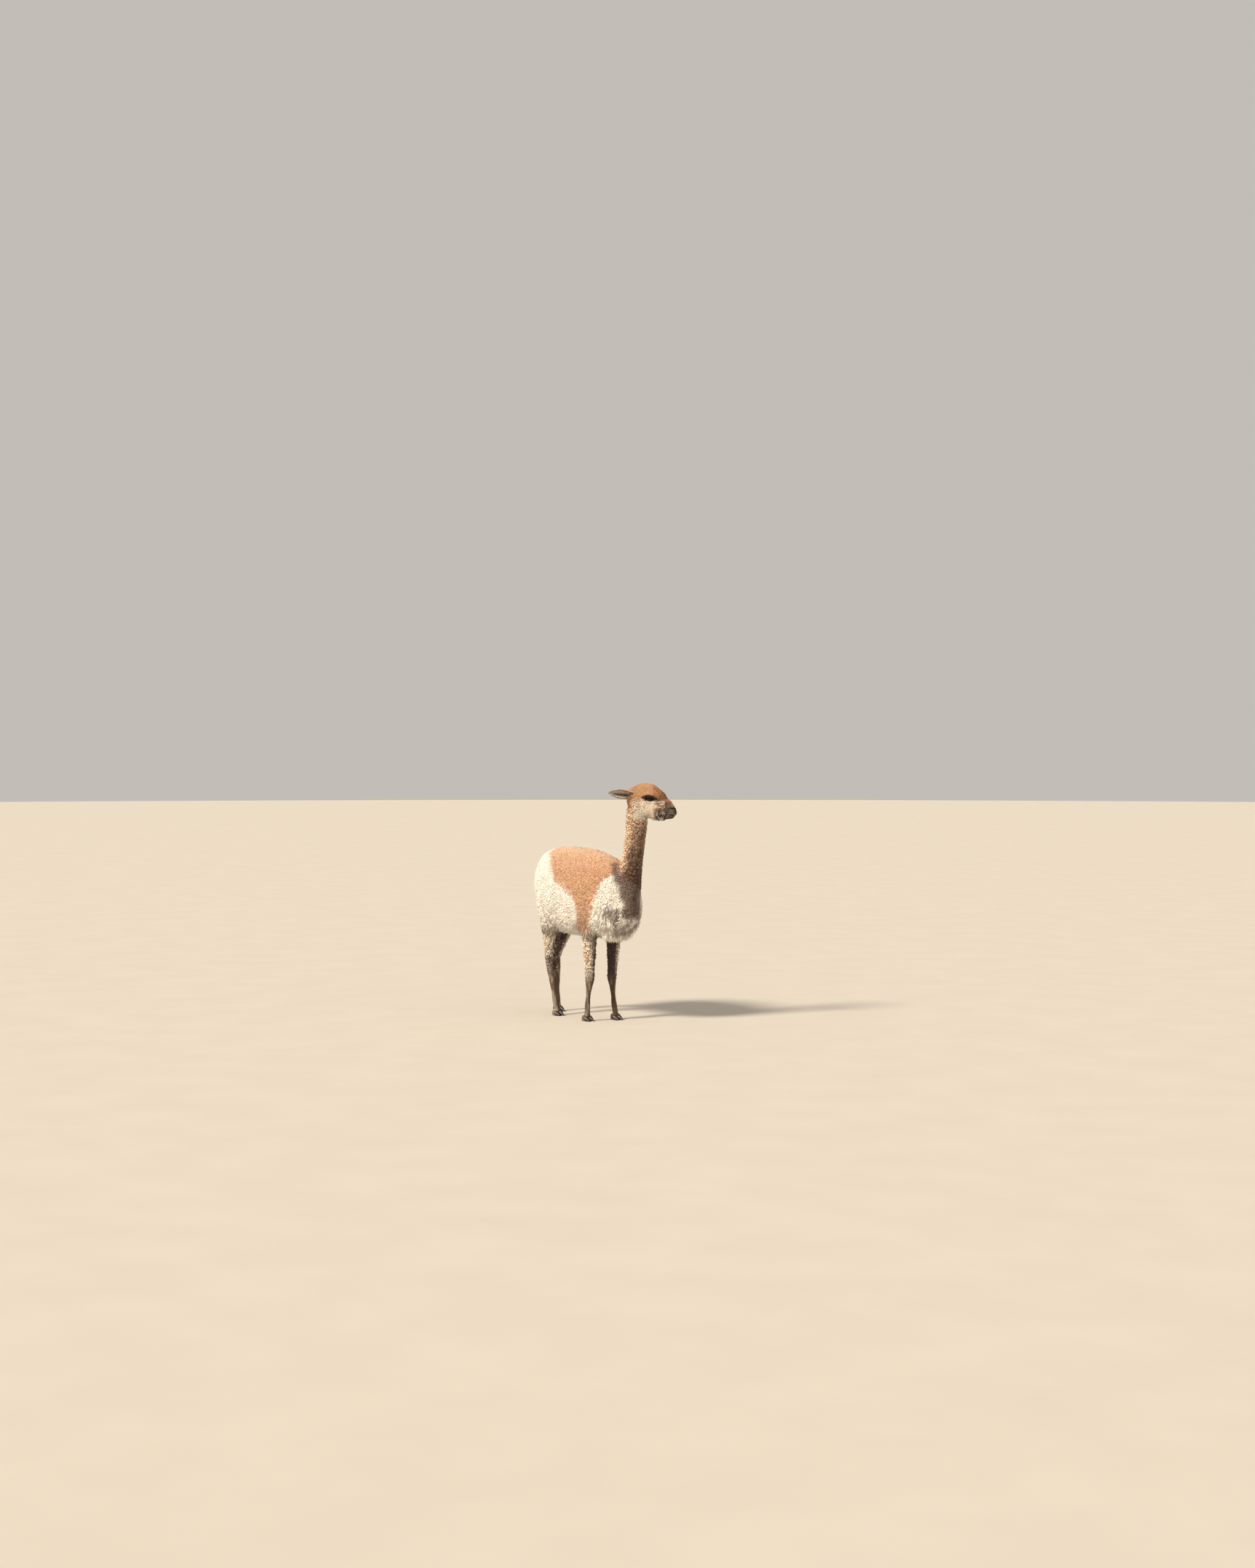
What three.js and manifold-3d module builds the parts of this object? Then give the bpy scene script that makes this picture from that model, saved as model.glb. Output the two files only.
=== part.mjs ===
// A life-size vicuna, standing still with its head turned to its left, in millimetres.
// +X is the way the body faces, +Y is the animal's left and +Z is up. The feet rest at Z = 0, and
// the origin is on the ground, below the centre of the animal's bounding box.
// Every limb is a stack of flat, rounded sections along one axis. The tables give the outside of the
// coat, the solid core lies inside it, and clumps and locks of wool reach from the core to the table.

import * as THREE from "three";
import { mergeVertices } from "three/addons/utils/BufferGeometryUtils.js";
import Module from "manifold-3d";

const wasm = await Module();
wasm.setup();

// Driving dimensions

const GAP = 0.3; // clearance between two neighbouring solids
const CROUP_HEIGHT = 946;
const BODY_REAR = -400;
const BODY_FRONT = 396;
const HEAD_PLACE = new THREE.Vector3(378, 122, 1213); // mid-plane of the head, level with the eyes
const HEAD_TURN = THREE.MathUtils.degToRad(45); // to the left of the body
const NECK_TOP = 1190;
const TAIL_TIPS = 632;
const NECK_CUT = { low: [402, 742], high: [215, 880] }; // [x, z] where neck and torso part
const HEAD_CUT = { low: [-6, -140], high: [-126, -16] }; // [forward, up] where head and neck part
const FORE_CUT = 492; // heights at which the legs leave the torso
const HIND_CUT = 512;

// Coat depths, from the skin to the tips
const TORSO_FACES = [20, 14]; // sides round it and rings along it
const BACK_COAT = 34;
const NECK_COAT = 20;
const LEG_COAT = 15;
const HEAD_COAT = 11;
const TAIL_COAT = 18;
const CORE_SHARE = 0.5; // the core reaches this share of the coat, and clumps and locks the rest

// Stations of the torso: [x, top, bottom, half width], to the outside of the coat
const TORSO = [
  [BODY_REAR, 800, 640, 52],
  [-360, 872, 566, 102],
  [-290, 925, 508, 152],
  [-200, CROUP_HEIGHT - 2, 478, 182],
  [-90, CROUP_HEIGHT, 468, 197],
  [30, 935, 464, 200],
  [130, 912, 460, 193],
  [225, 880, 462, 174],
  [310, 838, 478, 132],
  [366, 785, 520, 80],
  [BODY_FRONT, 735, 590, 44],
];

// Stations of the neck: [z, x, y, half width, forward, backward]
const NECK = [
  [610, 240, 4, 120, 120, 150],
  [690, 274, 14, 106, 110, 135],
  [770, 302, 28, 82, 86, 104],
  [850, 319, 42, 63, 67, 74],
  [930, 325, 55, 58, 64, 65],
  [1010, 328, 65, 58, 64, 65],
  [1090, 328, 74, 60, 66, 66],
  [1150, 330, 78, 60, 66, 66],
  [NECK_TOP, 334, 82, 50, 55, 52],
];

// Stations of the head in its own frame: [forward, top, bottom, half width]
const HEAD = [
  [-120, 40, -40, 34],
  [-98, 62, -72, 54],
  [-60, 83, -98, 64],
  [-18, 91, -113, 67],
  [22, 80, -118, 62],
  [56, 55, -119, 52],
  [86, 20, -118, 42],
  [112, -11, -115, 34],
  [132, -36, -108, 29],
  [144, -58, -98, 22],
  [149, -72, -87, 11],
];

// Shapes of the legs: [z, forward shift, half width, forward, backward]
const FORE_LEG = [
  [650, 14, 60, 76, 84],
  [560, 8, 55, 64, 68],
  [490, 0, 46, 47, 50],
  [430, -4, 42, 42, 43],
  [350, -2, 36, 36, 37],
  [280, 0, 31, 31, 32],
  [225, 0, 27, 28, 26],
  [185, 0, 19.5, 19, 19],
  [130, 0, 14, 13.5, 14.5],
  [85, 1, 17.5, 16, 17],
  [48, 4, 17, 17, 15],
  [16, 8, 15, 15, 12],
];
const HIND_LEG = [
  [720, 0, 72, 105, 112],
  [620, 12, 72, 106, 104],
  [530, 14, 60, 82, 68],
  [450, 6, 44, 52, 46],
  [380, 2, 34, 37, 40],
  [305, 0, 28, 27, 32],
  [245, 0, 25, 23, 25],
  [180, 0, 21, 19, 21],
  [125, 0, 16, 15, 16],
  [85, 1, 18.5, 16.5, 18],
  [48, 4, 17.5, 17, 15],
  [16, 8, 15, 15, 12],
];
const BEND_Z = { fore: 225, hind: 305 }; // height of the knee and of the hock
const FETLOCK_Z = 62;

// The stance: [x, y] of each leg's root, of its knee or hock, and of its foot
const LEGS = [
  { name: "foreleg_right", side: -1, fore: true, root: [135, -96], bend: [142, -103], foot: [121, -110] },
  { name: "foreleg_left", side: 1, fore: true, root: [148, 82], bend: [143, 52], foot: [176, 48] },
  { name: "hindleg_right", side: -1, fore: false, root: [-236, -94], bend: [-234, -80], foot: [-184, -75] },
  { name: "hindleg_left", side: 1, fore: false, root: [-214, 94], bend: [-376, 70], foot: [-342, 55] },
];

// Feet: two toes, each with a pad on the ground and a nail in front
const TOE = { apart: 15, length: 66, halfWidth: 14, height: 36, behind: 18, nailShare: 0.58 };

// The tail, hanging down the rump: [z, x, half width, forward, backward]
const TAIL = [
  [885, -352, 20, 30, 18],
  [850, -382, 27, 28, 22],
  [790, -404, 31, 24, 24],
  [720, -412, 29, 20, 22],
  [680, -410, 21, 15, 16],
  [650, -407, 12, 9, 9],
];

// Ears, eyes and muzzle, in the head's frame: [forward, outward, up]
const EAR = {
  root: [-92, 44, 17],
  length: 132,
  halfWidth: 25,
  depth: 13,
  wall: 2.6,
  out: 0.36,
  lift: 0.1,
  sunk: 24,
};
const EYE = { place: [3, 42, -1], radius: 17.5, lid: 3, width: 40, height: 23, tilt: -0.12 };
const MOUTH = { corner: 66, front: 170, z: -88, thick: 2.4, groove: 5 };
const NOSTRIL = { place: [146, 11, -66], size: [8, 3.6, 6] };
const NOSE = { place: [131, 0, -63], size: [18, 19, 16] };
const UPPER_LIP = { place: [122, 10, -79], size: [26, 15, 12] };
const LOWER_LIP = { place: [108, 0, -101], size: [29, 19, 13] };
const CHEEK = { place: [-32, 36, -56], size: [44, 24, 42] };

// Colours, from the animal's coat, skin and horn
const CINNAMON = 0xb98255;
const FAWN = 0xa98c72;
const HORN = 0x2a241f;
const EYE_COLOUR = 0x120c09;

const X_AXIS = new THREE.Vector3(1, 0, 0);
const Y_AXIS = new THREE.Vector3(0, 1, 0);
const Z_AXIS = new THREE.Vector3(0, 0, 1);

// Wool: the size of a clump or lock, how far apart they sit, and the stretch of the limb they grow on
const BACK_CLUMP = { spacing: 132, length: 148, width: 136, height: 17, lean: 20, from: -386, to: 380 };
const NECK_CLUMP = { spacing: 86, length: 94, width: 86, height: 10, lean: 12, from: 702, to: 1176 };
const LEG_CLUMP = { spacing: 72, length: 82, width: 62, height: 7.5, lean: 10, from: 440, to: 262 };
const HEAD_CLUMP = { spacing: 70, length: 70, width: 66, height: 5.5, lean: 8, from: -112, to: 34 };
const BIB_LOCK = {
  spacing: 76, width: 58, thick: 20, rise: 10,
  longest: 150, shortest: 62, from: 185, to: 388,
};
const FRINGE_LOCK = {
  spacing: 102, width: 70, thick: 18, rise: 12,
  longest: 92, shortest: 64, from: -360, to: 185,
};
const TAIL_LOCK = {
  spacing: 56, width: 40, thick: 13, rise: 9,
  longest: 92, shortest: 70, from: 800, to: 690,
};
const BIB_TOP = 690; // no lock of the bib is rooted higher than this
const ROW_SPACING = 0.87; // staggered rows lie this share of the spacing apart
const BEND_DOWN = 0.5; // the share of a lock's length that has turned from the lie to straight down
const BIB_TIPS = 428; // height of the lowest tips of the bib
const BELLY_TIPS = 446; // height of the tips of the belly's fringe
const BARE_ROUND_EYE = 46; // no clump is rooted this near to an eye
const BARE_ROUND_EAR = 36; // nor this near to the axis of an ear

// Seeded random numbers, so that the coat is the same each time
function seededRandom(seed) {
  let state = seed >>> 0;
  return () => {
    state = (state + 0x6d2b79f5) >>> 0;
    let mixed = Math.imul(state ^ (state >>> 15), 1 | state);
    mixed = (mixed + Math.imul(mixed ^ (mixed >>> 7), 61 | mixed)) ^ mixed;
    return ((mixed ^ (mixed >>> 14)) >>> 0) / 4294967296;
  };
}

// Solids

// A mirrored shape has its faces turned inwards, so they are turned out again
function solidOf(geometry) {
  const made = manifoldOf(geometry);
  return made.volume() > 0 ? made : manifoldOf(flipped(geometry));
}

function flipped(geometry) {
  const turned = geometry.clone();
  const index = turned.index;
  for (let i = 0; i < index.count; i += 3) {
    const kept = index.getX(i + 1);
    index.setX(i + 1, index.getX(i + 2));
    index.setX(i + 2, kept);
  }
  return turned;
}

function manifoldOf(geometry) {
  const bare = geometry.clone();
  bare.deleteAttribute("normal");
  bare.deleteAttribute("uv");
  const merged = mergeVertices(bare, 1e-3);
  return new wasm.Manifold(
    new wasm.Mesh({
      numProp: 3,
      vertProperties: new Float32Array(merged.attributes.position.array),
      triVerts: new Uint32Array(merged.index.array),
    }),
  );
}

function geometryOf(solid) {
  const mesh = solid.getMesh();
  const geometry = new THREE.BufferGeometry();
  geometry.setAttribute("position", new THREE.BufferAttribute(mesh.vertProperties, 3));
  geometry.setIndex(new THREE.BufferAttribute(mesh.triVerts, 1));
  return geometry;
}

function largestBody(solid) {
  return solid.decompose().reduce((best, body) => (body.volume() > best.volume() ? body : best));
}

const join = (solids) => wasm.Manifold.union(solids);

// Keeps what lies on the side of a plane that its normal points to
const keepAbove = (solid, normal, distance) => solid.trimByPlane(normal, distance);

// A closed ball whose rings and sides are moved by place(ring, angle), with the rings from 0 to 1
function mouldedBall(sides, rings, place) {
  const geometry = new THREE.SphereGeometry(1, sides, rings);
  const position = geometry.attributes.position;
  const uv = geometry.attributes.uv;
  const point = new THREE.Vector3();
  for (let i = 0; i < position.count; i += 1) {
    const ring = Math.round((1 - uv.getY(i)) * rings);
    const side = Math.round(uv.getX(i) * sides) % sides;
    place(point, ring, ring === 0 || ring === rings ? 0 : (side / sides) * Math.PI * 2);
    position.setXYZ(i, point.x, point.y, point.z);
  }
  return geometry;
}

// An ellipsoid with its own three directions, of few sides
function ellipsoid(centre, radii, axes, sides = 12, rings = 8) {
  const turn = new THREE.Matrix4().makeBasis(...axes);
  const geometry = new THREE.SphereGeometry(1, sides, rings);
  geometry.rotateX(Math.PI / 2);
  geometry.scale(...radii);
  geometry.applyMatrix4(turn);
  geometry.translate(centre.x, centre.y, centre.z);
  return solidOf(geometry);
}

// A limb: rounded sections at right angles to one axis. A station holds [along, centre a, centre b,
// half width, forward, backward], where width lies along `wide` and forward along `deep`.
class Limb {
  constructor(stations, axes) {
    const { along, wide, deep, squareness = 2, endRounding = 0.12, origin = new THREE.Vector3() } = axes;
    Object.assign(this, { along, wide, deep, squareness, endRounding, origin });
    this.line = new THREE.CatmullRomCurve3(stations.map((s) => new THREE.Vector3(...s)));
    this.sizes = new THREE.CatmullRomCurve3(stations.map((s) => new THREE.Vector3(s[3], s[4], s[5])));
    this.marks = this.line.getPoints(120).map((point) => point.x);
  }

  // Share of the way at which the limb reaches a distance along its axis
  shareAt(distance) {
    const way = Math.sign(this.marks[this.marks.length - 1] - this.marks[0]);
    const last = this.marks.length - 1;
    let next = 1;
    while (next < last && (distance - this.marks[next]) * way > 0) next += 1;
    const share = (distance - this.marks[next - 1]) / (this.marks[next] - this.marks[next - 1]);
    return THREE.MathUtils.clamp((next - 1 + share) / last, 0, 1);
  }

  // Point at share t of the way and angle round the section, moved outwards by grow
  at(t, angle, grow = 0, roundEnds = true) {
    const middle = this.line.getPoint(t);
    const size = this.sizes.getPoint(t);
    const toEnd = Math.min(t, 1 - t) / this.endRounding;
    const rounding = roundEnds && toEnd < 1 ? Math.sqrt(Math.max(0, 1 - (1 - toEnd) ** 2)) : 1;
    const cos = Math.cos(angle);
    const sin = Math.sin(angle);
    const power = 2 / this.squareness;
    const width = Math.sign(cos) * Math.abs(cos) ** power * (size.x + grow) * rounding;
    const depth = Math.sign(sin) * Math.abs(sin) ** power * ((sin > 0 ? size.y : size.z) + grow) * rounding;
    return this.origin
      .clone()
      .addScaledVector(this.along, middle.x)
      .addScaledVector(this.wide, middle.y + width)
      .addScaledVector(this.deep, middle.z + depth);
  }

  normal(t, angle) {
    const step = 0.01;
    const ahead = this.at(Math.min(1, t + step), angle, 0, false);
    const alongSlope = ahead.sub(this.at(Math.max(0, t - step), angle, 0, false));
    const roundSlope = this.at(t, angle + step, 0, false).sub(this.at(t, angle - step, 0, false));
    const normal = alongSlope.cross(roundSlope).normalize();
    const outward = this.at(t, angle, 0, false).sub(this.at(t, angle + Math.PI, 0, false));
    return normal.dot(outward) < 0 ? normal.negate() : normal;
  }

  solid(sides, rings, grow = 0) {
    const endRings = 3;
    const shares = [];
    for (let i = 0; i <= rings; i += 1) {
      const fromEnd = Math.min(i, rings - i);
      const inner = this.endRounding * 0.9;
      const near = fromEnd < endRings ? inner * (1 - Math.cos((fromEnd / endRings) * (Math.PI / 2))) : 0;
      const middle = inner + ((i - endRings) / (rings - 2 * endRings)) * (1 - 2 * inner);
      shares.push(fromEnd < endRings ? (i === fromEnd ? near : 1 - near) : middle);
    }
    const geometry = mouldedBall(sides, rings, (point, ring, angle) => {
      point.copy(this.at(shares[ring], angle, grow));
    });
    return solidOf(geometry);
  }
}

// Limbs of the body

// Stations of a limb given by its top and bottom, which lies in its own mid-plane
const level = (rows) =>
  rows.map(([along, top, bottom, half]) => {
    const reach = (top - bottom) / 2;
    return [along, 0, (top + bottom) / 2, half, reach, reach];
  });

const torsoLimb = new Limb(level(TORSO), {
  along: X_AXIS,
  wide: Y_AXIS,
  deep: Z_AXIS,
  squareness: 2.25,
  endRounding: 0.07,
});

const uprightAxes = { along: Z_AXIS, wide: Y_AXIS, deep: X_AXIS };

const neckLimb = new Limb(
  NECK.map(([z, x, y, half, front, back]) => [z, y, x, half, front, back]),
  { ...uprightAxes, endRounding: 0.05 },
);

const tailLimb = new Limb(
  TAIL.map(([z, x, half, front, back]) => [z, 0, x, half, front, back]),
  { ...uprightAxes, endRounding: 0.1 },
);

const HEAD_FORWARD = new THREE.Vector3(Math.cos(HEAD_TURN), Math.sin(HEAD_TURN), 0);
const HEAD_LEFT = new THREE.Vector3(-Math.sin(HEAD_TURN), Math.cos(HEAD_TURN), 0);

const headLimb = new Limb(level(HEAD), {
  along: HEAD_FORWARD,
  wide: HEAD_LEFT,
  deep: Z_AXIS,
  squareness: 2.15,
  endRounding: 0.06,
  origin: HEAD_PLACE,
});

// A point in the head's own frame, with outward turned to the side that is asked for
function headPoint([forward, outward, up], side = 1) {
  return HEAD_PLACE.clone()
    .addScaledVector(HEAD_FORWARD, forward)
    .addScaledVector(HEAD_LEFT, outward * side)
    .addScaledVector(Z_AXIS, up);
}

const mix = (a, b, share) => a + (b - a) * share;

// The centre line runs straight from the root to the bend, and from the bend to the foot. inset
// takes the wool off above the bend, down to the core.
function legLimb(leg, inset = 0) {
  const table = leg.fore ? FORE_LEG : HIND_LEG;
  const top = table[0][0];
  const low = table[table.length - 1][0];
  const bend = leg.fore ? BEND_Z.fore : BEND_Z.hind;
  const stations = table.map(([z, shift, half, front, back]) => {
    const upper = z >= bend;
    const [from, to] = upper ? [leg.root, leg.bend] : [leg.bend, leg.foot];
    const share = upper ? (top - z) / (top - bend) : (bend - z) / (bend - low);
    const off = inset * THREE.MathUtils.smoothstep(z, bend - 10, bend + 50);
    const y = mix(from[1], to[1], share);
    const x = mix(from[0], to[0], share) + shift;
    return [z, y, x, half - off, front - off, back - off];
  });
  return new Limb(stations, { ...uprightAxes, endRounding: 0.05 });
}

// Toes and nails

// One toe with its nail, a low wedge that is flat underneath and narrows to the tip of the nail
function toeSolid(leg, toeSide, grow = 0) {
  const { apart, length, halfWidth, height, behind } = TOE;
  const widths = [0, 0.85, 1, 0.92, 0.68, 0.4, 0];
  const tops = [0.5, 0.95, 0.98, 0.78, 0.56, 0.34, 0.16];
  const rings = widths.length - 1;
  const geometry = mouldedBall(6, rings, (point, ring, angle) => {
    const share = ring / rings;
    const out = Math.cos(angle) * widths[ring] * (halfWidth + grow);
    const top = tops[ring] * (height + grow);
    const up = widths[ring] === 0 ? top / 2 : (top / 2) * (1 + 1.35 * Math.sin(angle)) - 2;
    point.set(leg.foot[0] - behind + share * length, leg.foot[1] + toeSide * apart + out, up);
  });
  return keepAbove(solidOf(geometry), [0, 0, 1], 0);
}

// The plane that parts a nail from its toe leans back, as the root of a real nail does
function nailPlane(leg) {
  const normal = new THREE.Vector3(1, 0, 0.45).normalize();
  const x = leg.foot[0] - TOE.behind + TOE.length * TOE.nailShare;
  return { normal: normal.toArray(), distance: normal.dot(new THREE.Vector3(x, 0, 12)) };
}

// Wool

// A rounded clump of wool that wraps the limb it grows on. Its root is sunk in the core and its top
// leans along the lie: `lie` is [along, around] the limb. grow makes it larger all round, for the
// cutters that keep neighbours clear.
function clump(limb, along, angle, depth, { length, width, height, lean, lie }, grow = 0) {
  const size = limb.sizes.getPoint(limb.shareAt(along));
  const radius = (size.x + (size.y + size.z) / 2) / 2;
  const rings = [
    { reach: 0, up: -0.9, rise: -grow, shift: 0 },
    { reach: 1, up: -0.3, rise: 0, shift: 0.1 },
    { reach: 0.66, up: 0.76, rise: grow, shift: 0.7 },
    { reach: 0, up: 1, rise: grow, shift: 1 },
  ];
  const geometry = mouldedBall(5, rings.length - 1, (point, ring, turn) => {
    const { reach, up, rise, shift } = rings[ring];
    const forward = Math.cos(turn) * reach * (length / 2 + grow) + shift * lean;
    const sideways = Math.sin(turn) * reach * (width / 2 + grow);
    const onAxis = along + forward * lie[0] - sideways * lie[1];
    const around = angle + (forward * lie[1] + sideways * lie[0]) / radius;
    point.copy(limb.at(limb.shareAt(onAxis), around, up * height + rise - depth));
  });
  return solidOf(geometry);
}

// A flat, tapered lock: it leaves the core along the normal, follows the lie and bends to hang down
function lock(place, normal, lie, { length, width, thick, rise, curl }, grow = 0) {
  const side = new THREE.Vector3().crossVectors(normal, lie).normalize();
  const widths = [0, 0.85, 1, 0.86, 0.55, 0];
  const rings = widths.length - 1;
  const rootBack = 0.12 * length;
  const rootDepth = 0.45 * thick;
  const geometry = mouldedBall(4, rings, (point, ring, angle) => {
    const share = ring / rings;
    const out = rise * Math.sin(share * Math.PI * 0.75) - rootDepth * (1 - share);
    const hang = BEND_DOWN * length * share * share;
    const across = Math.cos(angle) * widths[ring] * (width / 2 + grow) + curl * share * share;
    point
      .copy(place)
      .addScaledVector(lie, share * (length + rootBack) - rootBack - hang + (2 * share - 1) * grow)
      .addScaledVector(Z_AXIS, -hang)
      .addScaledVector(side, across)
      .addScaledVector(normal, out + Math.sin(angle) * widths[ring] * (thick / 2 + grow));
  });
  return solidOf(geometry);
}

// The lie of the coat at a point: the flow direction, laid flat on the surface
function laidFlat(flow, normal) {
  return flow.clone().addScaledVector(normal, -flow.dot(normal)).normalize();
}

// Sets tufts over a limb in staggered rows, sunk by depth below the outside of the coat. tuft makes
// one from its point, normal, random draws and root, or gives null where none grows.
function coatOf(limb, { from, to, spacing, depth, seed, tuft }) {
  const random = seededRandom(seed);
  const rows = Math.max(1, Math.round(Math.abs(to - from) / (spacing * ROW_SPACING)));
  const tufts = [];
  for (let row = 0; row <= rows; row += 1) {
    const along = from + ((to - from) * row) / rows;
    const t = limb.shareAt(along);
    const size = limb.sizes.getPoint(t);
    const girth = Math.PI * (size.x + (size.y + size.z) / 2);
    const count = Math.max(3, Math.round(girth / spacing));
    for (let i = 0; i < count; i += 1) {
      const angle = ((i + (row % 2) / 2 + (random() - 0.5) * 0.25) / count) * Math.PI * 2;
      const root = { along, angle, depth };
      const made = tuft(limb.at(t, angle, -depth), limb.normal(t, angle), random, root);
      if (made) tufts.push(made);
    }
  }
  return tufts;
}

const varied = (random, spread) => 1 + (random() - 0.5) * 2 * spread;

// A clump of the given size with its own small differences, on a coat that flows one way
function variedClump(limb, { along, angle, depth }, flow, size, random, grow = 0) {
  const turned = flow + (random() - 0.5) * 0.7;
  const own = {
    length: size.length * varied(random, 0.14),
    width: size.width * varied(random, 0.12),
    height: size.height * varied(random, 0.14),
    lean: size.lean,
    lie: [Math.cos(turned), Math.sin(turned)],
  };
  return clump(limb, along, angle, depth, own, grow);
}

// A lock that hangs down from its point, no lower than tips
function hangingLock(point, normal, size, tips, random, grow = 0) {
  const flow = new THREE.Vector3((random() - 0.5) * 0.35 - 0.1, (random() - 0.5) * 0.3, -1);
  const reach = point.z - tips;
  const length = Math.min(size.longest, Math.max(size.shortest, reach)) * varied(random, 0.1);
  const own = {
    length,
    width: size.width * varied(random, 0.15),
    thick: size.thick,
    rise: size.rise * varied(random, 0.35),
    curl: (random() - 0.5) * 26,
  };
  return lock(point, normal, laidFlat(flow, normal), own, grow);
}

const inBib = (point) => point.x > BIB_LOCK.from && point.z < BIB_TOP;
const onBelly = (normal) => normal.z < -0.5;

function torsoWool() {
  const depth = BACK_COAT * (1 - CORE_SHARE);
  const clumps = coatOf(torsoLimb, {
    ...BACK_CLUMP,
    depth,
    seed: 11,
    tuft: (point, normal, random, root) => {
      if (inBib(point) || onBelly(normal)) return null;
      return variedClump(torsoLimb, root, Math.PI, BACK_CLUMP, random);
    },
  });
  const bib = coatOf(torsoLimb, {
    ...BIB_LOCK,
    depth,
    seed: 23,
    tuft: (point, normal, random) => {
      if (!inBib(point) || normal.z < -0.86) return null;
      return hangingLock(point, normal, BIB_LOCK, BIB_TIPS, random);
    },
  });
  const fringe = coatOf(torsoLimb, {
    ...FRINGE_LOCK,
    depth,
    seed: 37,
    tuft: (point, normal, random) => {
      if (!onBelly(normal) || normal.z < -0.93) return null;
      return hangingLock(point, normal, FRINGE_LOCK, BELLY_TIPS, random);
    },
  });
  return [...clumps, ...bib, ...fringe];
}

function neckWool() {
  return coatOf(neckLimb, {
    ...NECK_CLUMP,
    depth: NECK_COAT * (1 - CORE_SHARE),
    seed: 41,
    tuft: (point, normal, random, root) => variedClump(neckLimb, root, Math.PI, NECK_CLUMP, random),
  });
}

function legWool(leg, grow = 0) {
  const limb = legLimb(leg);
  return coatOf(limb, {
    from: LEG_CLUMP.from,
    to: leg.fore ? LEG_CLUMP.to : BEND_Z.hind + 16,
    spacing: LEG_CLUMP.spacing,
    depth: LEG_COAT * (1 - CORE_SHARE),
    seed: 50 + LEGS.indexOf(leg),
    tuft: (point, normal, random, root) => variedClump(limb, root, Math.PI, LEG_CLUMP, random, grow),
  });
}

function coatedTail(grow = 0) {
  const locks = coatOf(tailLimb, {
    ...TAIL_LOCK,
    depth: TAIL_COAT * (1 - CORE_SHARE),
    seed: 61,
    tuft: (point, normal, random) => {
      if (normal.x > 0.3) return null;
      return hangingLock(point, normal, TAIL_LOCK, TAIL_TIPS, random, grow);
    },
  });
  return join([tailLimb.solid(8, 10, coreInset(TAIL_COAT) + grow), ...locks]);
}

// Clumps on the crown, cheeks and nape, clear of the eyes, the ears and the muzzle
function headWool() {
  return coatOf(headLimb, {
    ...HEAD_CLUMP,
    depth: HEAD_COAT * (1 - CORE_SHARE),
    seed: 71,
    tuft: (point, normal, random, root) => {
      for (const side of [-1, 1]) {
        const { start, along } = earAxis(side);
        const toEar = new THREE.Line3(start, start.clone().addScaledVector(along, EAR.length));
        const nearest = toEar.closestPointToPoint(point, true, new THREE.Vector3());
        if (nearest.distanceTo(point) < BARE_ROUND_EAR) return null;
        if (headPoint(EYE.place, side).distanceTo(point) < BARE_ROUND_EYE) return null;
      }
      return variedClump(headLimb, root, Math.PI, HEAD_CLUMP, random);
    },
  });
}

// Parts

const coreInset = (coat) => -coat * (1 - CORE_SHARE);

function coatedLeg(leg, grow = 0) {
  const limb = legLimb(leg, LEG_COAT * (1 - CORE_SHARE)).solid(8, 18, grow);
  return join([limb, toeSolid(leg, -1, grow), toeSolid(leg, 1, grow), ...legWool(leg, grow)]);
}

// Where an ear starts, inside the head, and the way it points
function earAxis(side) {
  const along = new THREE.Vector3()
    .addScaledVector(HEAD_FORWARD, -1)
    .addScaledVector(HEAD_LEFT, EAR.out * side)
    .addScaledVector(Z_AXIS, EAR.lift)
    .normalize();
  return { along, start: headPoint(EAR.root, side).addScaledVector(along, -EAR.sunk) };
}

// A leaf-shaped ear with a deep cup that faces outwards, parted from the head at the skull
function earSolid(side) {
  const { root, length, halfWidth, depth, wall, out, sunk } = EAR;
  const { along, start } = earAxis(side);
  const open = new THREE.Vector3()
    .addScaledVector(HEAD_LEFT, side)
    .addScaledVector(HEAD_FORWARD, out)
    .normalize();
  const broad = new THREE.Vector3().crossVectors(along, open).normalize();
  const sides = 8;
  const rings = 7;
  const leaf = (inset, shift) => {
    const geometry = mouldedBall(sides, rings, (point, ring, angle) => {
      const share = ring / rings;
      const swell = Math.sin(Math.PI * Math.min(1, 0.1 + share * 0.9)) ** 0.75;
      const fade = ring === 0 || ring === rings ? 0 : 1;
      const width = Math.max(0, halfWidth * swell - inset) * fade;
      const deep = Math.max(0, depth * swell - inset) * fade;
      point
        .copy(start)
        .addScaledVector(along, inset + share * (length + sunk - 2 * inset))
        .addScaledVector(broad, Math.cos(angle) * width)
        .addScaledVector(open, Math.sin(angle) * deep + shift * swell);
    });
    return solidOf(geometry);
  };
  const hollow = leaf(wall, depth * 0.62);
  const opening = along.dot(headPoint(root, side)) + 14;
  const skull = headLimb.solid(16, 15, coreInset(HEAD_COAT) + GAP);
  const cup = leaf(0, 0).subtract(keepAbove(hollow, along.toArray(), opening));
  return largestBody(cup.subtract(skull));
}

function eyeSolid(side, radius) {
  return ellipsoid(headPoint(EYE.place, side), [radius, radius, radius], [X_AXIS, Y_AXIS, Z_AXIS]);
}

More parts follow.
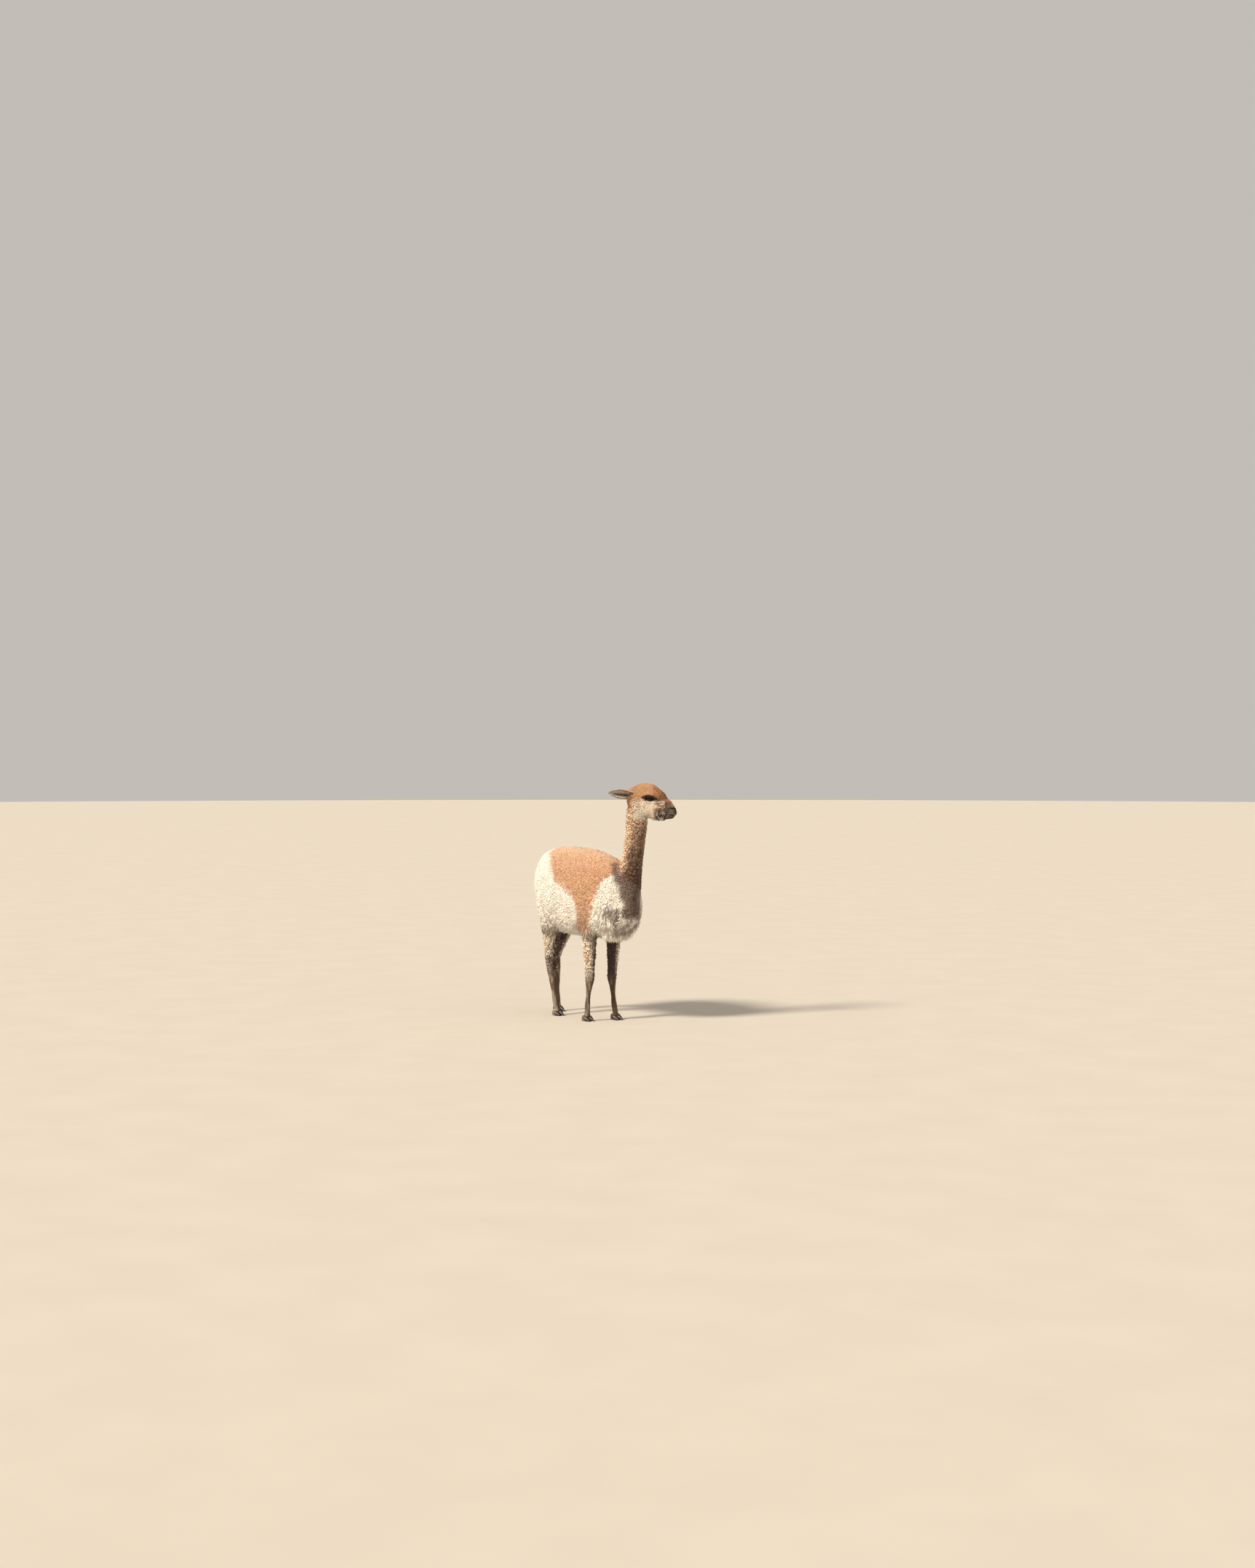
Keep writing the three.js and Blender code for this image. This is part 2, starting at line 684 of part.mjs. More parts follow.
// The almond between the lids, as a flattened ball pushed in from the side of the head
function lidOpening(side) {
  const slope = new THREE.Vector3()
    .addScaledVector(HEAD_FORWARD, Math.cos(EYE.tilt))
    .addScaledVector(Z_AXIS, Math.sin(EYE.tilt))
    .normalize();
  const outward = HEAD_LEFT.clone().multiplyScalar(side);
  const up = new THREE.Vector3().crossVectors(outward, slope).multiplyScalar(-side);
  const centre = headPoint(EYE.place, side).addScaledVector(outward, EYE.radius + 4);
  return ellipsoid(centre, [EYE.width / 2, EYE.radius, EYE.height / 2], [slope, outward, up], 12, 6);
}

function headSolid() {
  const skull = headLimb.solid(16, 15, coreInset(HEAD_COAT));
  const axes = [HEAD_FORWARD, HEAD_LEFT, Z_AXIS];
  const pieces = [skull];
  const cuts = [];
  for (const side of [-1, 1]) {
    pieces.push(eyeSolid(side, EYE.radius + EYE.lid));
    pieces.push(ellipsoid(headPoint(CHEEK.place, side), CHEEK.size, axes, 10, 6));
    pieces.push(ellipsoid(headPoint(UPPER_LIP.place, side), UPPER_LIP.size, axes, 10, 6));
    cuts.push(eyeSolid(side, EYE.radius + GAP));
    cuts.push(lidOpening(side));
    cuts.push(ellipsoid(headPoint(NOSTRIL.place, side), NOSTRIL.size, axes, 8, 6));
  }
  pieces.push(ellipsoid(headPoint(NOSE.place), NOSE.size, axes, 10, 6));
  pieces.push(ellipsoid(headPoint(LOWER_LIP.place), LOWER_LIP.size, axes, 10, 6));
  const slab = new THREE.BoxGeometry(MOUTH.front - MOUTH.corner, 160, MOUTH.thick);
  slab.rotateZ(HEAD_TURN);
  const middle = headPoint([(MOUTH.front + MOUTH.corner) / 2, 0, MOUTH.z]);
  slab.translate(middle.x, middle.y, middle.z);
  const inside = headLimb.solid(16, 15, coreInset(HEAD_COAT) - MOUTH.groove);
  cuts.push(solidOf(slab).subtract(inside));
  return join([...pieces, ...headWool()]).subtract(join(cuts));
}

// Scene

const materials = {
  cinnamon: new THREE.MeshStandardMaterial({ color: CINNAMON, roughness: 0.95, metalness: 0 }),
  fawn: new THREE.MeshStandardMaterial({ color: FAWN, roughness: 0.95, metalness: 0 }),
  horn: new THREE.MeshStandardMaterial({ color: HORN, roughness: 0.5, metalness: 0 }),
  eye: new THREE.MeshStandardMaterial({ color: EYE_COLOUR, roughness: 0.08, metalness: 0 }),
};

const vicuna = new THREE.Group();

function addPart(name, solid, material) {
  const mesh = new THREE.Mesh(geometryOf(largestBody(solid)), material);
  mesh.name = name;
  vicuna.add(mesh);
}

// A cutting plane through two [along, z] points, its normal upwards, in the frame of `forward`
function slopingPlane({ low, high }, forward, origin) {
  const normal = new THREE.Vector3()
    .addScaledVector(forward, high[1] - low[1])
    .addScaledVector(Z_AXIS, low[0] - high[0])
    .normalize();
  const point = origin.clone().addScaledVector(forward, low[0]).addScaledVector(Z_AXIS, low[1]);
  return { normal: normal.toArray(), distance: normal.dot(point), below: normal.clone().negate().toArray() };
}

const neckPlane = slopingPlane(NECK_CUT, X_AXIS, new THREE.Vector3());
const headPlane = slopingPlane(HEAD_CUT, HEAD_FORWARD, HEAD_PLACE);

// Head, with its ears and eyes
const neckCore = neckLimb.solid(14, 16, coreInset(NECK_COAT));
const headAndNeck = join([headSolid(), neckCore, ...neckWool()]);
addPart("head", keepAbove(headAndNeck, headPlane.normal, headPlane.distance), materials.cinnamon);
addPart("ear_left", earSolid(1), materials.cinnamon);
addPart("ear_right", earSolid(-1), materials.cinnamon);
addPart("eye_left", eyeSolid(1, EYE.radius), materials.eye);
addPart("eye_right", eyeSolid(-1, EYE.radius), materials.eye);

// Torso, neck and head are one body, parted along two sloping planes
const torsoCore = torsoLimb.solid(...TORSO_FACES, coreInset(BACK_COAT));
const bodyWhole = join([headAndNeck, torsoCore, ...torsoWool()]);
const belowHead = keepAbove(bodyWhole, headPlane.below, -headPlane.distance + GAP);
addPart("neck", keepAbove(belowHead, neckPlane.normal, neckPlane.distance), materials.cinnamon);

// Tail, rooted on the rump
const rump = torsoLimb.solid(...TORSO_FACES, coreInset(BACK_COAT) + GAP);
addPart("tail", coatedTail().subtract(rump), materials.cinnamon);

// Torso, with the tops of the legs, cut clear of the tail and of the legs below it
const torsoAndLegs = join([
  keepAbove(bodyWhole, neckPlane.below, -neckPlane.distance + GAP),
  ...LEGS.map((leg) => coatedLeg(leg)),
]);
const legsGrown = LEGS.map((leg) => {
  const cut = (leg.fore ? FORE_CUT : HIND_CUT) + GAP;
  return keepAbove(coatedLeg(leg, GAP), [0, 0, -1], -cut);
});
addPart("torso", torsoAndLegs.subtract(join([...legsGrown, coatedTail(GAP)])), materials.cinnamon);

// Legs, each parted at the knee or hock and at the fetlock
for (const leg of LEGS) {
  const whole = coatedLeg(leg);
  const top = leg.fore ? FORE_CUT : HIND_CUT;
  const bend = leg.fore ? BEND_Z.fore : BEND_Z.hind;
  const below = (solid, z) => keepAbove(solid, [0, 0, -1], -z);
  const above = (solid, z) => keepAbove(solid, [0, 0, 1], z);
  addPart(`${leg.name}_upper`, above(below(whole, top), bend), materials.fawn);
  addPart(`${leg.name}_lower`, above(below(whole, bend - GAP), FETLOCK_Z), materials.fawn);
  const { normal, distance } = nailPlane(leg);
  const behindNails = normal.map((value) => -value);
  const foot = keepAbove(below(whole, FETLOCK_Z - GAP), behindNails, -distance + GAP);
  addPart(`${leg.name}_foot`, foot, materials.fawn);
  for (const toeSide of [-1, 1]) {
    const nail = keepAbove(toeSolid(leg, toeSide), normal, distance);
    const which = toeSide === leg.side ? "outer" : "inner";
    addPart(`${leg.name}_nail_${which}`, nail, materials.horn);
  }
}

// The origin is below the middle of the animal's box
const box = new THREE.Box3().setFromObject(vicuna);
vicuna.position.set(-(box.min.x + box.max.x) / 2, -(box.min.y + box.max.y) / 2, -box.min.z);

export default vicuna;
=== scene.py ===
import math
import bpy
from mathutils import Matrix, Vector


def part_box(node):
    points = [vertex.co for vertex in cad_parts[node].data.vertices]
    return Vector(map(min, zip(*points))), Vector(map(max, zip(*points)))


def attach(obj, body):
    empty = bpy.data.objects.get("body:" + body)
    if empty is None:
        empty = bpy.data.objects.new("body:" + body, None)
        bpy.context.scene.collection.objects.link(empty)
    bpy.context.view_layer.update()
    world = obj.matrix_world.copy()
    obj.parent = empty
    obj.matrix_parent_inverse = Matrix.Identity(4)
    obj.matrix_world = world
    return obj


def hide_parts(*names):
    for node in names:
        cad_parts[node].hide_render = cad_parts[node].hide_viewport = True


bl_info = {
    "name": "Vicuna",
    "version": (1, 0, 0),
    "blender": (4, 5, 0),
    "location": "3D View > Sidebar > Vicuna",
    "description": "Skin, fleece, eyes and horn of a life-size standing vicuna",
    "category": "Mesh",
}

from types import SimpleNamespace

import bpy
import numpy as np

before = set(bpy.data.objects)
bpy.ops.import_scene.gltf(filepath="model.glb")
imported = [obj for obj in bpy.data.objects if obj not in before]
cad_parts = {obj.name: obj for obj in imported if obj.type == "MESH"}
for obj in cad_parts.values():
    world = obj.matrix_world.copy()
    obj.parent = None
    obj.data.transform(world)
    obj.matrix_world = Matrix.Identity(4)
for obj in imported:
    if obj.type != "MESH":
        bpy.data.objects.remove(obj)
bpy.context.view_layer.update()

# Sizes of the body, written in millimetres in the body's own frame
MM = 0.001
EYE_IN_BODY = np.array([350.42, 153.82, 1212.0]) * MM
HEAD_PLACE = np.array([378, 122, 1213]) * MM
HEAD_TURN = math.radians(45)
X, Y, Z = np.eye(3)
HEAD_FORWARD = np.array([math.cos(HEAD_TURN), math.sin(HEAD_TURN), 0])
HEAD_LEFT = np.array([-math.sin(HEAD_TURN), math.cos(HEAD_TURN), 0])
BEND_Z = {"fore": 225, "hind": 305}

# A row holds the place along the part, top, bottom, half width and the depth of the wool over the skin
TORSO = [
    (-400, 800, 640, 52, 10),
    (-360, 872, 566, 102, 11),
    (-290, 925, 508, 152, 12),
    (-200, 944, 478, 182, 12),
    (-90, 946, 468, 197, 12),
    (30, 935, 464, 200, 12),
    (130, 912, 460, 193, 13),
    (225, 880, 462, 174, 14),
    (310, 838, 478, 132, 16),
    (366, 785, 520, 80, 18),
    (396, 735, 590, 44, 16),
]
HEAD = [
    (-120, 40, -40, 34, 9),
    (-98, 62, -72, 54, 9),
    (-60, 83, -98, 64, 9),
    (-18, 91, -113, 67, 9),
    (22, 80, -118, 62, 7),
    (56, 55, -119, 52, 5),
    (86, 20, -118, 42, 4),
    (112, -11, -115, 34, 3),
    (132, -36, -108, 29, 2.5),
    (144, -58, -98, 22, 2),
    (149, -72, -87, 11, 2),
]

# A row holds the height, centre x and y, half width, reach forward and back, and the depth of the wool
NECK = [
    (610, 240, 4, 120, 120, 150, 13),
    (690, 274, 14, 106, 110, 135, 12),
    (770, 302, 28, 82, 86, 104, 11),
    (850, 319, 42, 63, 67, 74, 10),
    (930, 325, 55, 58, 64, 65, 10),
    (1010, 328, 65, 58, 64, 65, 10),
    (1090, 328, 74, 60, 66, 66, 10),
    (1150, 330, 78, 60, 66, 66, 10),
    (1190, 334, 82, 50, 55, 52, 9),
]
TAIL = [
    (885, -352, 0, 20, 30, 18, 8),
    (850, -382, 0, 27, 28, 22, 10),
    (790, -404, 0, 31, 24, 24, 12),
    (720, -412, 0, 29, 20, 22, 12),
    (680, -410, 0, 21, 15, 16, 8),
    (650, -407, 0, 12, 9, 9, 4),
]

# A row holds the height, shift forward, half width, reach forward and back, and the depth of the wool
FORE_LEG = [
    (650, 14, 60, 76, 84, 14),
    (560, 8, 55, 64, 68, 13),
    (490, 0, 46, 47, 50, 12),
    (430, -4, 42, 42, 43, 11),
    (350, -2, 36, 36, 37, 10),
    (280, 0, 31, 31, 32, 8),
    (225, 0, 27, 28, 26, 5),
    (185, 0, 19.5, 19, 19, 3),
    (130, 0, 14, 13.5, 14.5, 2.5),
    (85, 1, 17.5, 16, 17, 3),
    (48, 4, 17, 17, 15, 2.5),
    (16, 8, 15, 15, 12, 2),
]
HIND_LEG = [
    (720, 0, 72, 105, 112, 16),
    (620, 12, 72, 106, 104, 16),
    (530, 14, 60, 82, 68, 14),
    (450, 6, 44, 52, 46, 12),
    (380, 2, 34, 37, 40, 9),
    (305, 0, 28, 27, 32, 5),
    (245, 0, 25, 23, 25, 3),
    (180, 0, 21, 19, 21, 2.5),
    (125, 0, 16, 15, 16, 2.5),
    (85, 1, 18.5, 16.5, 18, 3),
    (48, 4, 17.5, 17, 15, 2.5),
    (16, 8, 15, 15, 12, 2),
]

# Places of each leg's root, bend and foot, as x and y
LEGS = {
    "foreleg_right": ("fore", (135, -96), (142, -103), (121, -110)),
    "foreleg_left": ("fore", (148, 82), (143, 52), (176, 48)),
    "hindleg_right": ("hind", (-236, -94), (-234, -80), (-184, -75)),
    "hindleg_left": ("hind", (-214, 94), (-376, 70), (-342, 55)),
}
TOE = {"apart": 15, "length": 66, "half_width": 14, "height": 36, "behind": 18, "nail_share": 0.5}
TOE_WIDTHS = (0, 0.85, 1, 0.92, 0.68, 0.4, 0)
TOE_TOPS = (0.5, 0.95, 0.98, 0.78, 0.56, 0.34, 0.16)

# Places on the head, as forward, outward and up from the middle between the eyes
EYE = {"place": (3, 42, -1), "radius": 19, "width": 46, "height": 30, "tilt": -0.12, "lid": 2.6}
EYE_MARK = {"half_length": 47, "above": 20, "below": 17, "fall": -0.12}
EAR = {"root": (-92, 44, 17), "length": 132, "half_width": 25, "depth": 13, "wall": 2.2, "sunk": 24}
EAR.update(out=0.36, lift=0.1)
CHEEK = ((-32, 32, -56), (42, 22, 40))
UPPER_LIP = ((120, 9, -79), (24, 14, 11))
LOWER_LIP = ((106, 0, -100), (28, 18, 12))
NOSE = ((129, 0, -63), (17, 18, 15))
MOUTH = {"corner": 66, "z": -88, "groove": 2.2, "depth": 5.5}

# Bumps and, below zero, hollows of the face: place, spread and height of each
RELIEFS = {
    "brow": ((6, 50, 21), (27, 16, 9), 6.5),
    "front of the eye socket": ((36, 40, -3), (15, 16, 9), -4.0),
    "rear of the eye socket": ((-26, 52, -16), (15, 14, 10), -2.5),
    "stop under the forehead": ((50, 18, 44), (14, 30, 14), -3.5),
    "side of the bridge": ((78, 30, -4), (24, 14, 15), -4.0),
    "cheek muscle": ((56, 36, -62), (24, 16, 14), 3.0),
    "nose bone": ((112, 6, -18), (18, 12, 14), 3.5),
    "nostril": ((134, 16, -57), (11, 7, 3.4), -7.5),
    "front of the nostril": ((143, 12, -64), (5, 6, 4.5), -4.0),
    "wing over the nostril": ((128, 18, -48), (13, 8, 4.0), 2.6),
    "wing under the nostril": ((126, 24, -66), (12, 8, 5.0), 2.4),
    "under the lip": ((146, 0, -102), (10, 16, 7), -5.0),
    "rise of the bridge": ((84, 0, 24), (12, 26, 10), 2.5),
    "dip of the bridge": ((104, 0, -2), (12, 26, 10), -2.5),
    "cleft of the upper lip": ((143, 0, -77), (12, 2.4, 9), -3.6),
    "upper lip": ((128, 16, -80), (14, 10, 5.5), 2.6),
    "lower lip": ((118, 8, -103), (15, 14, 8), 2.6),
}

# How far the relief of the face reaches from the middle between the eyes, and over what length it fades
HEAD_REACH = 190 * MM
HEAD_FADE = 10 * MM

# The camera, which stands 12 m off and looks down by less than a degree
CAMERA_AZIMUTH = math.radians(50)
CAMERA_DISTANCE = 12.0
CAMERA_HEIGHT = 1.44
CAMERA_PITCH = math.radians(-0.73)
CAMERA_ASIDE = 0.2177
LENS_MM = 50
SENSOR_MM = 36
FAR_CLIP = 200.0
FLOOR_RADIUS = 60.0
FLOOR_SIDES = 96
# Each lamp's way right, towards the camera and up, its spread in degrees, share of the strength and colour
LAMP_DISTANCE = 8.0
LAMPS = {
    "key": ((-0.8, 0.5, 0.8), 12, 1.0, "#FFF3E3"),
    "fill": ((0.7, 0.7, 0.5), 60, 0.12, "#FFF6EC"),
}

eye_low, eye_high = (np.array(corner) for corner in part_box("eye_left"))
SHIFT = (eye_low + eye_high) / 2 - EYE_IN_BODY


# Colour and numbers
def linear(hex_colour):
    """An sRGB hex colour as linear red, green and blue: a channel c becomes (c + 0.055) / 1.055 to the power
    2.4, or c / 12.92 where it is dark."""
    channels = np.array([int(hex_colour[k : k + 2], 16) / 255 for k in (1, 3, 5)])
    return np.where(channels <= 0.04045, channels / 12.92, ((channels + 0.055) / 1.055) ** 2.4)


def smooth(value, low, high):
    """0 below low, 1 above high, and 3 s squared less 2 s cubed between them."""
    share = np.clip((value - low) / (high - low), 0, 1)
    return share * share * (3 - 2 * share)


def hashed(cells, seed):
    """Three random numbers from 0 to 1 for each whole-number cell, from the mixed bits of its places."""
    whole = cells.astype(np.int64)
    mixed = seed * 7919
    for axis, prime in enumerate((73856093, 19349663, 83492791)):
        mixed = mixed ^ (whole[..., axis] * prime)
    numbers = []
    for step in (13, 17, 11):
        mixed = mixed & 0xFFFFFFFF
        mixed = (mixed ^ (mixed >> step)) * 1274126177
        mixed = (mixed & 0xFFFFFFFF) ^ ((mixed & 0xFFFFFFFF) >> 16)
        numbers.append((mixed & 0xFFFFFF) / 0xFFFFFF)
    return np.stack(numbers, axis=-1)


def noise(points, size, seed):
    """Smooth noise from -1 to 1: random values on a grid of that size, blended by smoothed shares."""
    place = points / size
    cell = np.floor(place)
    share = place - cell
    share = share * share * (3 - 2 * share)
    total = 0
    for corner in np.ndindex(2, 2, 2):
        weight = np.prod(np.where(corner, share, 1 - share), axis=-1)
        total = total + weight * hashed(cell + corner, seed)[..., 0]
    return 2 * total - 1


def unit(vectors):
    """The same directions with a length of 1."""
    return vectors / np.maximum(np.linalg.norm(vectors, axis=-1, keepdims=True), 1e-9)


def spline(rows, share):
    """Centripetal Catmull-Rom through rows of numbers: each span's ends leave along a slope weighted by the
    square root of the distances to the rows beside it."""
    padded = np.vstack([2 * rows[0] - rows[1], rows, 2 * rows[-1] - rows[-2]])
    spans = len(rows) - 1
    place = np.clip(share, 0, 1) * spans
    first = np.minimum(place.astype(int), spans - 1)
    weight = (place - first)[..., None]
    before, start, end, after = (padded[first + k] for k in range(4))
    gaps = [
        np.sqrt(np.maximum(np.linalg.norm(b - a, axis=-1, keepdims=True), 1e-6))
        for a, b in ((before, start), (start, end), (end, after))
    ]
    leave = (start - before) / gaps[0] - (end - before) / (gaps[0] + gaps[1]) + (end - start) / gaps[1]
    arrive = (end - start) / gaps[1] - (after - start) / (gaps[1] + gaps[2]) + (after - end) / gaps[2]
    leave, arrive = leave * gaps[1], arrive * gaps[1]
    square, cube = weight**2, weight**3
    rise = 3 * (end - start) - 2 * leave - arrive
    fall = 2 * (start - end) + leave + arrive
    return start + leave * weight + rise * square + fall * cube


# Limbs
LOCATE_STEPS = 400
LEAST_HALF = 2 * MM
END_SHARE = 0.03
END_RING = 0.15
BLEND_DEPTH = 7 * MM


class Limb:
    """A part of the body as rounded ovals carried along a line."""

    def __init__(self, rows, along, wide, deep, origin=(0, 0, 0), squareness=2.0, rounding=0.05):
        self.rows = np.array(rows, float) * MM
        self.along, self.wide, self.deep = along, wide, deep
        self.origin = np.array(origin, float)
        self.squareness = squareness
        self.rounding = rounding
        self.shares = np.linspace(0, 1, LOCATE_STEPS)
        self.places = spline(self.rows[:, :3], self.shares)[:, 0]

    def section(self, share, grow):
        """Centre line, half width and two depths at a share of the length, rounded off to both ends."""
        line = spline(self.rows[:, :3], share)
        sizes = spline(self.rows[:, 3:6], share)
        wool = np.interp(share, np.linspace(0, 1, len(self.rows)), self.rows[:, 6])
        to_end = np.minimum(share, 1 - share) / self.rounding
        round_off = np.sqrt(np.maximum(1 - (1 - np.clip(to_end, 0, 1)) ** 2, 0))
        sizes = np.maximum(sizes + (grow - wool)[..., None], LEAST_HALF) * round_off[..., None]
        return line, sizes

    def point(self, share, angle, grow=0.0):
        """The centre, plus cos to the power 2 / squareness times the half width, plus sin to that power times
        the depth."""
        line, sizes = self.section(share, grow)
        power = 2 / self.squareness
        across = np.sign(np.cos(angle)) * np.abs(np.cos(angle)) ** power * sizes[..., 0]
        reach = np.where(np.sin(angle) > 0, sizes[..., 1], sizes[..., 2])
        up = np.sign(np.sin(angle)) * np.abs(np.sin(angle)) ** power * reach
        return (
            self.origin
            + line[..., :1] * self.along
            + (line[..., 1] + across)[..., None] * self.wide
            + (line[..., 2] + up)[..., None] * self.deep
        )

    def locate(self, points):
        """Share of the length, angle and distance from the skin of each point, by undoing point()."""
        apart = points - self.origin
        along = apart @ self.along
        order = 1 if self.places[-1] > self.places[0] else -1
        share = np.interp(along * order, self.places * order, self.shares)
        line, sizes = self.section(np.clip(share, END_SHARE, 1 - END_SHARE), 0.0)
        across = apart @ self.wide - line[..., 1]
        up = apart @ self.deep - line[..., 2]
        reach = np.where(up > 0, sizes[..., 1], sizes[..., 2])
        power = self.squareness
        ratio = (np.abs(across / sizes[..., 0]) ** power + np.abs(up / reach) ** power) ** (1 / power)
        radius = np.hypot(across, up)
        beyond = np.maximum(self.places.min() - along, 0) + np.maximum(along - self.places.max(), 0)
        distance = np.hypot(radius * (1 - 1 / np.maximum(ratio, 0.05)), beyond)
        return share, np.arctan2(up / reach, across / sizes[..., 0]), distance

    def surface(self, rings, sides, grow=0.0):
        """A closed grid of the limb: rings at even shares, and a point at both ends."""
        shares = np.linspace(0, 1, rings + 2)[1:-1]
        shares = np.concatenate([[self.rounding * END_RING], shares, [1 - self.rounding * END_RING]])
        angles = np.linspace(0, 2 * np.pi, sides, endpoint=False)
        grid = self.point(shares[:, None] + 0 * angles, angles + 0 * shares[:, None], grow)
        return closed_tube(grid)


def closed_tube(grid):
    """Points and triangles of a tube from a grid of rings, with a point in the middle of each end ring."""
    rings, sides = grid.shape[:2]
    points = np.vstack([grid.reshape(-1, 3), grid[0].mean(0), grid[-1].mean(0)])
    walls = wall_faces(rings, sides)[: (rings - 1) * sides]
    walls = np.concatenate([walls[:, 0], walls[:, 1]])
    here = np.arange(sides)
    after = (here + 1) % sides
    last = (rings - 1) * sides
    start = np.stack([after, here, np.full(sides, rings * sides)], -1)
    end = np.stack([last + here, last + after, np.full(sides, rings * sides + 1)], -1)
    return points, facing_out(points, np.concatenate([walls, start, end]))


def ring_surface(grid):
    """Points and triangles of a tube whose last ring meets its first."""
    walls = wall_faces(*grid.shape[:2])
    points = grid.reshape(-1, 3)
    return points, facing_out(points - points.mean(0), np.concatenate([walls[:, 0], walls[:, 1]]))


def wall_faces(rings, sides):
    """Two triangles for each cell between neighbouring rings, the last ring's cells towards the first."""
    ring, side = np.meshgrid(np.arange(rings), np.arange(sides), indexing="ij")
    beside, above = (side + 1) % sides, (ring + 1) % rings
    a, b = ring * sides + side, ring * sides + beside
    c, d = above * sides + beside, above * sides + side
    return np.stack([np.stack([a, b, c], -1), np.stack([a, c, d], -1)], 2).reshape(-1, 2, 3)


def facing_out(points, faces):
    """Turns a closed shell's triangles round if the volume they enclose is negative."""
    a, b, c = (points[faces[:, k]] for k in range(3))
    volume = np.einsum("ij,ij->i", a, np.cross(b, c)).sum()
    return faces[:, ::-1] if volume < 0 else faces


def upright_leg(kind, root, bend, foot):
    """A leg whose centre runs straight from root to bend and on to the foot, with each row's own shift."""
    rows = FORE_LEG if kind == "fore" else HIND_LEG
    top, low, middle = rows[0][0], rows[-1][0], BEND_Z[kind]
    placed = []
    for z, shift, half, forward, back, wool in rows:
        upper = z >= middle
        start, end = (root, bend) if upper else (bend, foot)
        share = (top - z) / (top - middle) if upper else (middle - z) / (middle - low)
        x = start[0] + (end[0] - start[0]) * share + shift
        y = start[1] + (end[1] - start[1]) * share
        placed.append((z, y, x, half, forward, back, wool))
    return Limb(placed, Z, Y, X)


def between(rows):
    """Rows of place, top, bottom, half width and wool, as rows with the middle and both depths instead."""
    placed = []
    for place, top, low, half, wool in rows:
        depth = (top - low) / 2
        placed.append((place, 0, (top + low) / 2, half, depth, depth, wool))
    return placed


LIMBS = {
    "torso": Limb(between(TORSO), X, Y, Z, squareness=2.25, rounding=0.07),
    "neck": Limb([(z, y, x, *rest) for z, x, y, *rest in NECK], Z, Y, X),
    "head": Limb(
        between(HEAD), HEAD_FORWARD, HEAD_LEFT, Z, origin=HEAD_PLACE, squareness=2.15, rounding=0.06
    ),
    "tail": Limb([(z, y, x, *rest) for z, x, y, *rest in TAIL], Z, Y, X, rounding=0.1),
}
LIMBS.update({name: upright_leg(*places) for name, places in LEGS.items()})
NAMES = list(LIMBS)
# Where each part lies on the unwrap of the skin, as left, bottom, width and height
ATLAS = {
    "torso": (0.0, 0.0, 0.62, 0.62),
    "neck": (0.64, 0.0, 0.35, 0.3),
    "head": (0.64, 0.32, 0.35, 0.3),
    "tail": (0.64, 0.64, 0.16, 0.16),
    "foreleg_right": (0.0, 0.64, 0.3, 0.17),
    "foreleg_left": (0.32, 0.64, 0.3, 0.17),
    "hindleg_right": (0.0, 0.82, 0.3, 0.17),
    "hindleg_left": (0.32, 0.82, 0.3, 0.17),
}


def on_head(place, side=1):
    """A place of the head's own frame in the body's frame, mirrored for the right side."""
    forward, outward, up = (value * MM for value in place)
    return HEAD_PLACE + forward * HEAD_FORWARD + outward * side * HEAD_LEFT + up * Z


def head_vector(numbers, side):
    """Directions given as forward, outward and up of the head, in the body's frame."""
    return numbers[..., :1] * HEAD_FORWARD + numbers[..., 1:2] * side * HEAD_LEFT + numbers[..., 2:] * Z


def head_frame(points):
    """Forward, outward (always positive) and up of each point in the head's own frame, in millimetres."""
    apart = (points - HEAD_PLACE) / MM
    return apart @ HEAD_FORWARD, np.abs(apart @ HEAD_LEFT), apart[..., 2]


def parts_of(points):
    """How much each limb owns each point, from its distance to their skins, and its place on each limb."""
    located = [LIMBS[name].locate(points) for name in NAMES]
    distance = np.stack([found[2] for found in located], -1)
    nearest = distance.min(-1, keepdims=True)
    weights = np.exp(-(distance - nearest) / BLEND_DEPTH)
    weights /= weights.sum(-1, keepdims=True)
    return weights, located


def unwrapped(weights, located):
    """The place of each point on the unwrap: its limb's cell, with the share across and the angle up."""
    owner = weights.argmax(-1)
    places = np.zeros((len(owner), 2))
    for index, name in enumerate(NAMES):
        left, low, width, height = ATLAS[name]
        mine = owner == index
        share, angle, _ = (values[mine] for values in located[index])
        places[mine, 0] = left + width * np.clip(share, 0, 1)
        places[mine, 1] = low + height * (angle / (2 * np.pi) + 0.5)
    return places


